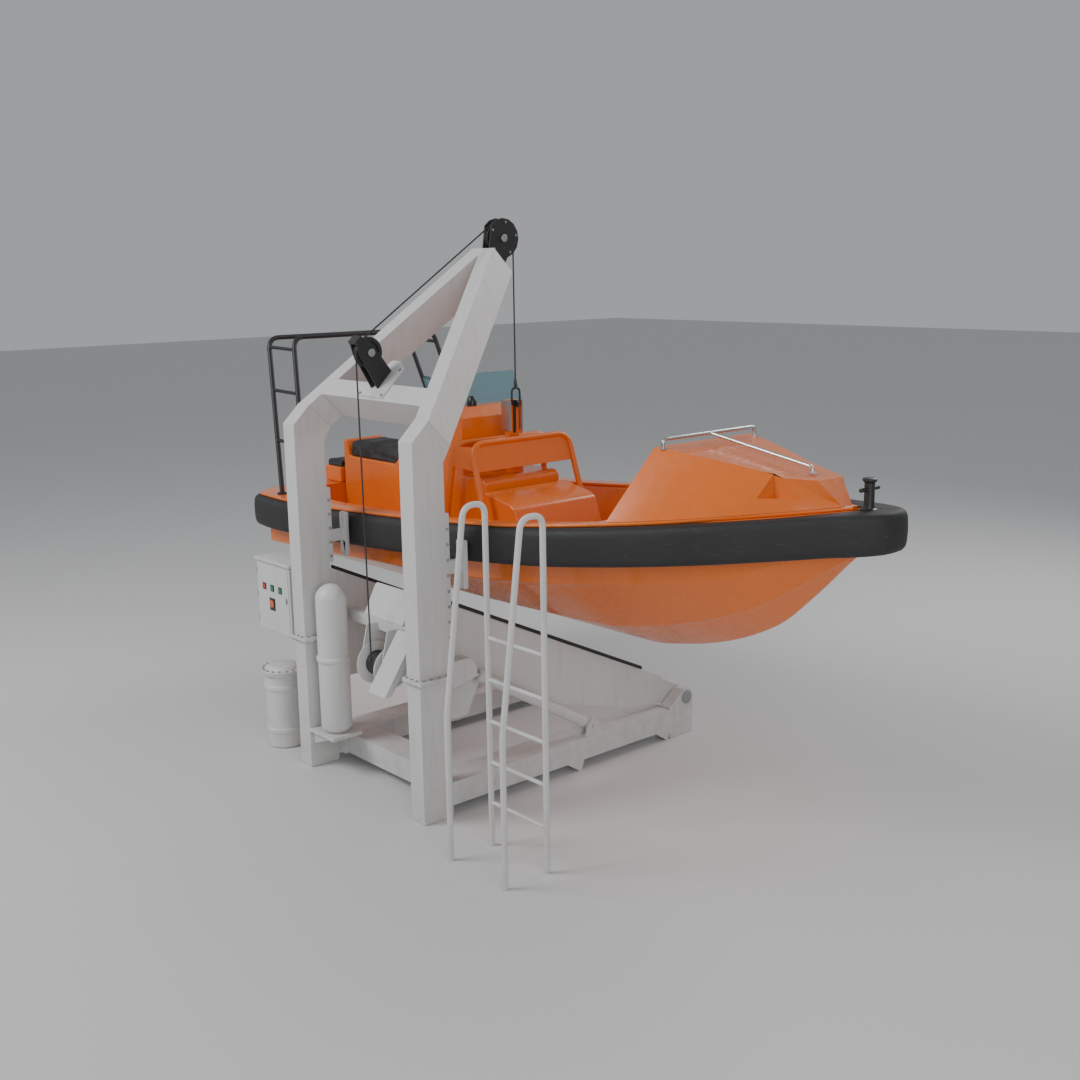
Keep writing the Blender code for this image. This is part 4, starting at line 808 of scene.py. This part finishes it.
piece("roll_hoop_tubes", hoop_shape(), TUBE, "boat", ("roll_hoop",), sharp=50)
piece("roll_hoop_panels", hoop_panel_shape(), TUBE, "boat", ("roll_hoop",), bevel=0.002)
piece("mast_tubes", mast_shape(), BLACK, "boat", ("stern_mast",), sharp=50)
piece("oval_ring", ring_shape(), BLACK, "boat", ("lifting_ring",))
piece("wire_drop", drop_shape(), WIRE, "boat", ("fall_wire_drop",), sharp=80)
for node in ("jet_housing", "jet_nozzle", "jet_bucket"):
    dressed(node, BLACK, 0.003)


# Cushions

def cushion(node, inset, swell, frames=20):
    """Stuffed pad: the CAD pad remeshed fine, blown up by cloth pressure, its movement capped."""
    source = NODES[node]
    mesh = source.data.copy()
    mesh.name = node + "_padded"
    obj = bpy.data.objects.new(mesh.name, mesh)
    scene = bpy.context.scene
    scene.collection.objects.link(obj)
    work = bmesh.new()
    work.from_mesh(mesh)
    bmesh.ops.remove_doubles(work, verts=work.verts, dist=1e-5)
    work.to_mesh(mesh)
    work.free()
    remesh = obj.modifiers.new("remesh", "REMESH")
    remesh.mode, remesh.voxel_size = "VOXEL", 0.0075
    settle(obj)
    low, high = (np.array(v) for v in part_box(node))
    middle, half = (low + high) / 2, (high - low) / 2
    rest = coordinates(obj)
    share = (rest - middle) / half
    rest = rest - share * inset
    bottom = rest[:, 2] < low[2] + 0.010
    rest[bottom, 2] = low[2] + 0.0004
    write(obj, rest)
    pin = obj.vertex_groups.new(name="pin")
    pin.add(np.nonzero(bottom)[0].tolist(), 1.0, "REPLACE")
    cloth = obj.modifiers.new("cloth", "CLOTH")
    cloth.settings.quality = 4
    cloth.settings.use_pressure = True
    cloth.settings.uniform_pressure_force = 4.0
    cloth.settings.vertex_group_mass = "pin"
    cloth.settings.effector_weights.gravity = 0.0
    for number in range(1, frames + 1):
        scene.frame_set(number)
    settle(obj)
    moved = coordinates(obj) - rest
    length = np.linalg.norm(moved, axis=1, keepdims=True) + 1e-9
    rest = rest + moved / length * (swell * np.tanh(length / swell))
    rest[bottom, 2] = low[2] + 0.0004
    write(obj, rest)
    scene.frame_set(1)
    return obj, low, high


def coordinates(obj):
    """Points of a mesh as an array."""
    points = np.zeros(len(obj.data.vertices) * 3)
    obj.data.vertices.foreach_get("co", points)
    return points.reshape(-1, 3)


def write(obj, points):
    """Puts an array of points into a mesh."""
    obj.data.vertices.foreach_set("co", points.astype(np.float32).ravel())
    obj.data.update()


def settle(obj):
    """Applies every modifier and drops them."""
    graph = bpy.context.evaluated_depsgraph_get()
    mesh = bpy.data.meshes.new_from_object(obj.evaluated_get(graph))
    obj.modifiers.clear()
    obj.data = mesh


def seat_channels(points, low, high, across):
    """Sewn channels: shallow grooves across the top of the pad at each listed x."""
    top = points[:, 2] > (low[2] + high[2]) / 2 - 0.02
    for x in across:
        near = np.exp(-((points[:, 0] - x) / 0.006) ** 2)
        points[:, 2] -= np.where(top, near * 0.006, 0.0)
    return points


def seat_cushions():
    """Helm pad with sewn channels, and the plain aft pad."""
    for node, inset, swell, channels in (("helm_seat_cushion", 0.008, 0.012, (-1.16, -0.98, -0.80)),
                                         ("aft_seat_cushion", 0.006, 0.008, (-1.585,))):
        obj, low, high = cushion(node, inset, swell)
        points = seat_channels(coordinates(obj), low, high, [x + SHIFT[0] for x in channels])
        write(obj, np.clip(points, low - 0.004, high + 0.004))
        obj.data.materials.clear()
        obj.data.materials.append(VINYL)
        obj.data.shade_smooth()
        obj.modifiers.new("smooth", "SUBSURF").levels = 1
        obj.modifiers["smooth"].render_levels = 1
        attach(obj, "boat")
        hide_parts(node)


seat_cushions()


# Davit: posts, arm, legs, base

for node, width in (("base_frame", 0.004), ("upper_post_left", 0.005), ("upper_post_right", 0.005), ("davit_arm", 0.005),
                    ("cradle_leg_left", 0.003), ("cradle_leg_right", 0.003), ("bottle_shelf", 0.003), ("winch_frame", 0.003),
                    ("control_cabinet", 0.003), ("fender_pad_left", 0.012), ("fender_pad_right", 0.012),
                    ("rear_strip_left", 0.004), ("rear_strip_right", 0.004)):
    dressed(node, WHITE, width)
dressed("winch_motor_cover", LIGHT, 0.012, 3)
dressed("deflector_plate", WHITE, 0.002)
for node in ("cradle_rubber_left", "cradle_rubber_right"):
    dressed(node, PROFILE_RUBBER, 0.008, 3)
# The head cheeks take the black paint as painted shade: they are white-painted like the davit and look dark only in
# shade. The deflector bracket's dark paint is its own.
for node in ("head_cheeks", "deflector_bracket"):
    dressed(node, BLACK, 0.002)


def flange_bolts():
    """Bolts through the pairs of landing plates, beside and in front of each post."""
    places = []
    for x in (0.0, POST_GAUGE):
        places += [(x + POST_WIDTH + 0.026, y, LANDING_Z + 0.0125) for y in (0.015, 0.085, 0.155, 0.225)]
        places += [(x + u, -0.016, LANDING_Z + 0.0125) for u in (0.02, 0.08, 0.14)]
    return bolts(places, "z", 0.010)


def flange_nuts():
    """Nuts under the lower landing plates."""
    places = []
    for x in (0.0, POST_GAUGE):
        places += [(x + POST_WIDTH + 0.026, y, LANDING_Z - 0.0145) for y in (0.015, 0.085, 0.155, 0.225)]
        places += [(x + u, -0.016, LANDING_Z - 0.0145) for u in (0.02, 0.08, 0.14)]
    return bolts(places, "z", 0.010, head=0.8, sign=-1)


def strip_bolts():
    """Domed bolts down the rear strips, on their back and on their outer side."""
    dome = [(0.0125 * math.cos(a), 0.010 * math.sin(a)) for a in np.linspace(0.0, 1.35, 6)]
    back, side = lathe(dome, "y", (0, 0, 0), 20), lathe(dome, "x", (0, 0, 0), 20)
    shapes = []
    for x, low in ((0.100, 1.73), (1.660, 1.26)):
        z = np.arange(low, 2.27, 0.115)
        shapes.append(placed(back, np.stack((z * 0 + x + 0.0275, z * 0 + 0.305, z), -1)))
        shapes.append(placed(side, np.stack((z * 0 + x + 0.055, z * 0 + 0.284, z), -1)))
    return merge(*shapes)


def frame_joints():
    """Welded joints of the luffing frame: round the upper landing plates, and where posts meet the arm."""
    runs = []
    for x0, x1 in ((0.0, POST_WIDTH), (POST_GAUGE, POST_GAUGE + POST_WIDTH)):
        runs.append(plate_joint(x0, x1, LANDING_Z + 0.0145))
        joint = [slope_point(0.2052, n) for n in (0.0005, -0.262)]
        for x in (x0 - 0.0005, x1 + 0.0005):
            runs.append([(x, *joint[0]), (x, *joint[1])])
        runs.append([(x0, *joint[0]), (x1, *joint[0])])
    return runs


def station_joints():
    """Welded joints of the base: round the lower landing plates, and where its beams meet."""
    runs = [plate_joint(x, x + POST_WIDTH, LANDING_Z - 0.0165) for x in (0.0, POST_GAUGE)]
    for y in (0.29, 0.55):
        for x in (0.2705, 1.4495):
            runs.append([(x, y, 0.085), (x, y, 0.262)])
    return runs


def plate_joint(x0, x1, z):
    """Joint round a post's front and inner side where it stands on a landing plate."""
    return [(x0 - 0.0005, -0.0005, z), (x1 + 0.0005, -0.0005, z), (x1 + 0.0005, POST_DEPTH, z)]


def weld_beads(runs):
    """Weld beads: thin rounded tubes along the joints, their radius rippled from point to point."""
    shapes = []
    for run in runs:
        run = np.asarray(run, float)
        step = np.linalg.norm(np.diff(run, axis=0), axis=1)
        along = np.concatenate(([0.0], np.cumsum(step)))
        s = np.linspace(0, along[-1], max(8, int(along[-1] / 0.006)))
        path = np.stack([np.interp(s, along, run[:, k]) for k in range(3)], -1)
        shapes.append(tube(path, 0.0030 + 0.0005 * np.cos(np.arange(len(s)) * math.pi), 8))
    return merge(*shapes)


def pivot_caps():
    """Round keeper plates with bolts on the outer ends of the pivot pins."""
    shapes = []
    for x, sign in ((0.0, -1), (2 * MID_X, 1)):
        shapes.append(lathe(((0.058, x - sign * 0.002), (0.058, x + sign * 0.008), (0.050, x + sign * 0.012)), "x", (0, *PIVOT), 40))
        ring = [(x + sign * 0.008, PIVOT[0] + 0.042 * math.cos(a), PIVOT[1] + 0.042 * math.sin(a)) for a in (0.6, 2.7, 4.8)]
        shapes.append(bolts(ring, "x", 0.007, sign=sign))
    return merge(*shapes)


for body, shape in (("luffing_frame", flange_bolts()), ("launching_station", flange_nuts())):
    piece("landing_bolts_" + body, shape, ZINC, body)
piece("rear_strip_bolts", strip_bolts(), ZINC, "luffing_frame")


piece("pivot_keepers", pivot_caps(), ZINC, "launching_station")
piece("weld_beads", weld_beads(frame_joints()), WHITE, "luffing_frame", sharp=80)
piece("base_weld_beads", weld_beads(station_joints()), WHITE, "launching_station", sharp=80)


# Davit: wire, sheaves, winch

def wire_path():
    """Fall wire: up from the drum, over the deflector and the head sheave, in 5 mm steps."""
    (dy, dz), (hy, hz) = DEFLECTOR_PIN, HEAD_PIN
    tilt = math.asin((HEAD_SHEAVE - DEFLECTOR_SHEAVE) / math.hypot(hy - dy, hz - dz))
    leave = math.atan2(hz - dz, hy - dy) + math.pi / 2 + tilt
    corners = [(DRUM_Y - DRUM_CORE - 0.006, DRUM_Z), (dy - DEFLECTOR_SHEAVE, dz)]
    for (y, z), r, a in ((DEFLECTOR_PIN, DEFLECTOR_SHEAVE, np.linspace(math.pi, leave, 30)[1:]),
                         (HEAD_PIN, HEAD_SHEAVE, np.linspace(leave, 0.0, 50))):
        corners += list(zip(y + r * np.cos(a), z + r * np.sin(a)))
    corners.append((hy + HEAD_SHEAVE, hz - 0.004))
    corners = np.array(corners)
    along = np.concatenate(([0.0], np.cumsum(np.linalg.norm(np.diff(corners, axis=0), axis=1))))
    s = np.arange(0.0, along[-1], 0.005)
    return np.stack((s * 0 + MID_X, np.interp(s, along, corners[:, 0]), np.interp(s, along, corners[:, 1])), -1)


def sheave_shape(pin, radius):
    """Cast sheave: rim with a rounded groove, recessed web and hub."""
    rim, half = radius + 0.0098, 0.0218
    turn = np.linspace(0, math.pi, 9)
    groove = [(rim - (rim - radius + 0.0062) * math.sin(a), MID_X - 0.015 * math.cos(a)) for a in turn]
    profile = [(0.030, MID_X - half), (0.042, MID_X - half), (0.046, MID_X - 0.012), (radius - 0.026, MID_X - 0.012),
               (radius - 0.020, MID_X - half), (rim - 0.002, MID_X - half), (rim, MID_X - half + 0.003)]
    mirror = [(r, 2 * MID_X - x) for r, x in profile[::-1]]
    return lathe(profile + groove + mirror, "x", (0, *pin), 72)


def pin_heads():
    """Headed pins with keeper bolts in the sheave cheeks."""
    shapes = []
    for pin, half in ((HEAD_PIN, 0.0605), (DEFLECTOR_PIN, 0.0585)):
        shapes.append(lathe(((0.026, MID_X - half), (0.030, MID_X - half + 0.003), (0.030, MID_X - 0.0455)), "x", (0, *pin), 32))
        shapes.append(lathe(((0.030, MID_X + 0.0455), (0.030, MID_X + half - 0.003), (0.026, MID_X + half)), "x", (0, *pin), 32))
    y, z = HEAD_PIN
    ring = [(MID_X + 0.0455, y + 0.125 * math.cos(a), z + 0.125 * math.sin(a)) for a in np.radians((-60, 10, 80, 150, 220))]
    shapes.append(bolts(ring, "x", 0.009))
    shapes.append(bolts([(2 * MID_X - x, v, w) for x, v, w in ring], "x", 0.009, sign=-1))
    return merge(*shapes)


def plate_bolts():
    """Bolt heads at the corners of the deflector's base plate."""
    spots = []
    for x, s in ((-0.135, 0.365), (-0.135, 0.50), (0.142, 0.365), (0.142, 0.615)):
        spots.append((MID_X + x, *slope_point(s, 0.0142)))
    tilt = np.array(((1, 0, 0), (0, math.cos(ARM_ANGLE), -math.sin(ARM_ANGLE)), (0, math.sin(ARM_ANGLE), math.cos(ARM_ANGLE))))
    head, faces = bolts([(0, 0, 0)], "z", 0.011)
    return placed((head @ tilt.T, faces), spots)


def drum_wire():
    """Wound wire: one hump of the profile for each turn, side by side between the flanges."""
    x = np.linspace(0.7875, 0.9985, 15 * 8 + 1)
    hump = np.abs(np.sin((x - x[0]) / (x[-1] - x[0]) * 15 * math.pi))
    return lathe(np.stack((DRUM_CORE + 0.006 + 0.0075 * hump, x), -1), "x", (0, DRUM_Y, DRUM_Z), 64)


def drum_flanges():
    """Drum flanges with rolled rims and a hub boss."""
    shapes = []
    for x, sign in ((0.787, -1), (0.999, 1)):
        profile = [(0.028, x), (DRUM_FLANGE - 0.006, x), (DRUM_FLANGE - 0.0005, x + sign * 0.003), (DRUM_FLANGE - 0.0005, x + sign * 0.009),
                   (DRUM_FLANGE - 0.006, x + sign * 0.0118), (DRUM_FLANGE - 0.018, x + sign * 0.0118), (DRUM_FLANGE - 0.024, x + sign * 0.007),
                   (0.070, x + sign * 0.007), (0.062, x + sign * 0.0118), (0.028, x + sign * 0.0118)]
        shapes.append(lathe(profile[::sign], "x", (0, DRUM_Y, DRUM_Z), 72))
    return merge(*shapes)


piece("wire_run", laid_wire(wire_path(), WIRE_RADIUS, 0.05), WIRE, "luffing_frame", ("fall_wire_run",), sharp=80)
piece("head_sheave_wheel", sheave_shape(HEAD_PIN, HEAD_SHEAVE), BLACK, "head_sheave", ("head_sheave",), sharp=30)
piece("deflector_sheave_wheel", sheave_shape(DEFLECTOR_PIN, DEFLECTOR_SHEAVE), BLACK, "deflector_sheave", ("deflector_sheave",), sharp=30)
piece("sheave_pins", pin_heads(), ZINC, "luffing_frame", sharp=30)
piece("deflector_plate_bolts", plate_bolts(), ZINC, "luffing_frame", sharp=30)
piece("drum_wire", drum_wire(), WIRE, "winch_drum", ("winch_drum",), sharp=60)
piece("drum_flanges", drum_flanges(), LIGHT, "winch_drum", ("winch_drum",), sharp=30)


# Davit: luffing cylinders

def cylinder_parts(x):
    """Barrel with end cap, gland and ports, and rod with its eye, between their two pins."""
    foot, eye = np.array((x, *FOOT_PIN)), np.array((x, *ROD_EYE))
    length = float(np.linalg.norm(eye - foot))
    end = length - 0.12
    r = 0.0475
    barrel = between(foot, eye, ((0.028, 0.03), (0.028, 0.095), (r + 0.002, 0.100), (r + 0.002, 0.135), (r - 0.004, 0.140),
                                 (r - 0.004, end - 0.075), (r, end - 0.070), (r + 0.0018, end - 0.066), (r + 0.0018, end - 0.012),
                                 (r - 0.003, end - 0.004), (0.0365, end), (0.0300, end + 0.0005)), 40)
    foot_eye = lathe(((0.024, x - 0.0284), (0.043, x - 0.0284), (0.0448, x - 0.026), (0.0448, x + 0.026), (0.043, x + 0.0284),
                      (0.024, x + 0.0284)), "x", (0, *FOOT_PIN), 40)
    along = (eye - foot) / length
    up = np.array((0.0, along[2], -along[1])) * (-1 if along[1] > 0 else 1)
    up = up if up[2] > 0 else -up
    ports = []
    for s in (0.165, end - 0.10):
        base = foot + along * s + up * (r - 0.008)
        ports.append(between(base, base + up * 0.05, ((0.014, 0.0), (0.014, 0.016), (0.011, 0.017), (0.011, 0.026)), 6))
    rod = between(foot, eye, ((0.026, 0.16), (0.0278, 0.162), (0.0278, length - 0.062), (0.024, length - 0.058), (0.024, length - 0.03)), 36)
    rod_eye = lathe(((0.021, x - 0.0344), (0.040, x - 0.0344), (0.0418, x - 0.032), (0.0418, x + 0.032), (0.040, x + 0.0344),
                     (0.021, x + 0.0344)), "x", (0, *ROD_EYE), 40)
    return merge(barrel, foot_eye, *ports), rod, rod_eye


for side, tag in enumerate(("left", "right")):
    barrel, rod, rod_eye = cylinder_parts(CYLINDER_X[side])
    piece("cylinder_" + tag, barrel, WHITE, "barrel_" + tag, ("barrel_" + tag,), sharp=30)
    piece("cylinder_rod_" + tag, rod, CHROME, "rod_" + tag, ("rod_" + tag,), sharp=30)
    piece("cylinder_rod_eye_" + tag, rod_eye, WHITE, "rod_" + tag, sharp=30)


# Bottle, tank, cabinet, ladder

def bottle_shape():
    """Gas bottle: waisted foot ring, straight wall with a pressed band, half-round top."""
    base, r = 0.3383, 0.1245
    top = [(max(r * math.cos(a), 0.004), 1.44 + 0.1195 * math.sin(a)) for a in np.linspace(0, math.pi / 2, 20)]
    profile = [(0.085, base), (0.094, base + 0.002), (0.100, base + 0.012), (r - 0.006, base + 0.026), (r, base + 0.045), (r, 0.926),
               (r + 0.009, 0.932), (r + 0.012, 0.940), (r + 0.012, 0.960), (r + 0.009, 0.968), (r, 0.974)]
    return lathe(profile + top, "z", (0.35, 0.14, 0), 72)


def tank_shape():
    """Oil tank: rolled body with two hoops, a top flange, and two pipes to the post."""
    c, r = (-0.49, 0.15, 0), 0.158
    profile = [(r - 0.012, 0.001), (r - 0.002, 0.006), (r, 0.014)]
    for low in (0.125, 0.500):
        profile += [(r, low), (r + 0.005, low + 0.003), (r + 0.008, low + 0.012), (r + 0.008, low + 0.036), (r + 0.005, low + 0.045), (r, low + 0.049)]
    profile += [(r, 0.634), (0.180, 0.641), (0.182, 0.644), (0.182, 0.6585), (0.180, 0.6598)]
    pipes = [tube(bent([(c[0] + 0.08, 0.24, z), (-0.02, 0.24, z), (-0.001, 0.24, z)], 0.02), 0.0128) for z in (0.34, 0.42)]
    collars = [lathe(((0.020, x - 0.010), (0.020, x + 0.010)), "x", (0, 0.24, z), 6) for z in (0.34, 0.42) for x in (-0.20, -0.011)]
    return merge(lathe(profile, "z", c, 80), *pipes, *collars)


def lid_shape():
    """Dished lid with a raised middle."""
    return lathe(((0.184, 0.6604), (0.185, 0.663), (0.185, 0.675), (0.182, 0.678), (0.150, 0.6795), (0.130, 0.700), (0.110, 0.7065),
                  (0.050, 0.7145), (0.02, 0.7155)), "z", (-0.49, 0.15, 0), 80)


def lid_bolts():
    """Ring of bolts round the lid."""
    a = np.linspace(0, 2 * math.pi, 18, endpoint=False)
    return bolts(np.stack((-0.49 + 0.168 * np.cos(a), 0.15 + 0.168 * np.sin(a), a * 0 + 0.6782), -1), "z", 0.009, head=0.9)


def door_shape():
    """Cabinet door: folded panel with a raised middle."""
    outer = brick((-0.55, -0.006, 1.045), (-0.032, 0.0076, 1.633))
    return merge(outer, brick((-0.532, -0.0135, 1.063), (-0.050, -0.004, 1.615)))


def button_shapes():
    """Round push buttons on square bezels: the row of three, and the large stop below."""
    row = [(-0.4225 + 0.125 * k, 1.4325) for k in range(3)]
    bezels = [brick((x - 0.028, -0.0170, z - 0.028), (x + 0.028, -0.0132, z + 0.028)) for x, z in row]
    bezels.append(brick((-0.347, -0.0180, 1.243), (-0.263, -0.0132, 1.347)))
    caps = [brick((x - 0.020, -0.0198, z - 0.020), (x + 0.020, -0.0168, z + 0.020)) for x, z in row]
    stop = lathe(((0.020, -0.0170), (0.020, -0.0200), (0.032, -0.0215), (0.032, -0.0245), (0.027, -0.0258)), "y", (-0.305, 0, 1.300), 40)
    return merge(*bezels), caps, stop


def hinge_shapes():
    """Three hinge knuckles on the door's left edge, and a turn latch on its right."""
    knuckles = [lathe(((0.005, z), (0.006, z + 0.002), (0.006, z + 0.048), (0.005, z + 0.05)), "z", (-0.5495, -0.003, 0), 16)
                for z in (1.12, 1.32, 1.52)]
    latch = lathe(((0.016, -0.0134), (0.016, -0.0160), (0.013, -0.0175)), "y", (-0.075, 0, 1.36), 28)
    lever = brick((-0.079, -0.0215, 1.335), (-0.071, -0.0172, 1.385))
    return merge(*knuckles), merge(latch, lever)


def ladder_shapes():
    """Two bent hoops, and straight rungs between their back legs."""
    shapes = []
    for x in (2.302, 2.888):
        corners = [(x - 0.01, -0.196, 0.0), (x - 0.01, -0.196, 1.04), (x, -0.02, 2.46), (x, 0.163, 2.46), (x, 0.163, 0.0)]
        reach = np.array((0.05, 0.085, 0.085))
        shapes.append(tube(soften(np.array(corners), reach, 12), 0.0208, 24))
    for z in (0.325, 0.625, 0.925, 1.225, 1.525):
        shapes.append(tube([(2.302, 0.163, z), (2.888, 0.163, z)], 0.0148, 20))
    return merge(*shapes)


piece("pressure_bottle", bottle_shape(), LIGHT, "launching_station", ("gas_bottle",), sharp=50)
piece("oil_tank_body", tank_shape(), LIGHT, "launching_station", ("oil_tank",), sharp=40)
piece("oil_tank_cover", lid_shape(), LIGHT, "launching_station", ("oil_tank_lid",), sharp=40)
piece("oil_tank_cover_bolts", lid_bolts(), ZINC, "launching_station", sharp=30)
piece("cabinet_door_panel", door_shape(), WHITE, "cabinet_door", ("cabinet_door",), bevel=0.003)
bezels, caps, stop = button_shapes()
piece("button_bezels", bezels, DARK, "cabinet_door", bevel=0.001)
for name, shape, colour in (("button_first", caps[0], RED), ("button_second", caps[1], GREEN), ("button_third", caps[2], GREEN),
                            ("button_stop", stop, AMBER)):
    piece(name, shape, colour, "cabinet_door", bevel=0.001)
knuckles, latch = hinge_shapes()
piece("cabinet_hinges", knuckles, ZINC, "luffing_frame")
piece("cabinet_latch", latch, ZINC, "cabinet_door")
piece("ladder_tubes", ladder_shapes(), WHITE, "launching_station", ("boarding_ladder",), sharp=60)


# Stage

def stage():
    """Pale floor and soft studio lights, all constant."""
    size = 60.0
    mesh = bpy.data.meshes.new("floor")
    mesh.from_pydata([(-size, -size, -0.002), (size, -size, -0.002), (size, size, -0.002), (-size, size, -0.002)], [], [(0, 1, 2, 3)])
    floor = bpy.data.objects.new("floor", mesh)
    bpy.context.scene.collection.objects.link(floor)
    f = Finish("pale_floor", (0.62, 0.62, 0.62), 0.8)
    f.set("Base Color", f.blend(f.noise(0.6, 3.0) * 0.3, f.colour, (0.58, 0.58, 0.58, 1.0)))
    mesh.materials.append(f.material)
    for name, place, aim, power, width in (("key", (-4.5, -9.0, 9.5), (0.5, 0.5, 1.6), 900.0, 5.0),
                                           ("fill", (10.0, -5.0, 5.0), (0.5, 0.3, 1.4), 330.0, 6.0),
                                           ("rim", (1.0, 9.0, 8.0), (0.8, 0.5, 1.8), 420.0, 5.0)):
        lamp = bpy.data.lights.new(name, "AREA")
        lamp.shape, lamp.size, lamp.energy = "SQUARE", width, power
        obj = bpy.data.objects.new(name, lamp)
        obj.location = place
        obj.rotation_euler = (Vector(aim) - Vector(place)).to_track_quat("-Z", "Y").to_euler()
        bpy.context.scene.collection.objects.link(obj)
    world = bpy.data.worlds.new("studio")
    world.use_nodes = True
    world.node_tree.nodes["Background"].inputs["Color"].default_value = (0.85, 0.87, 0.90, 1.0)
    world.node_tree.nodes["Background"].inputs["Strength"].default_value = 0.45
    bpy.context.scene.world = world


stage()
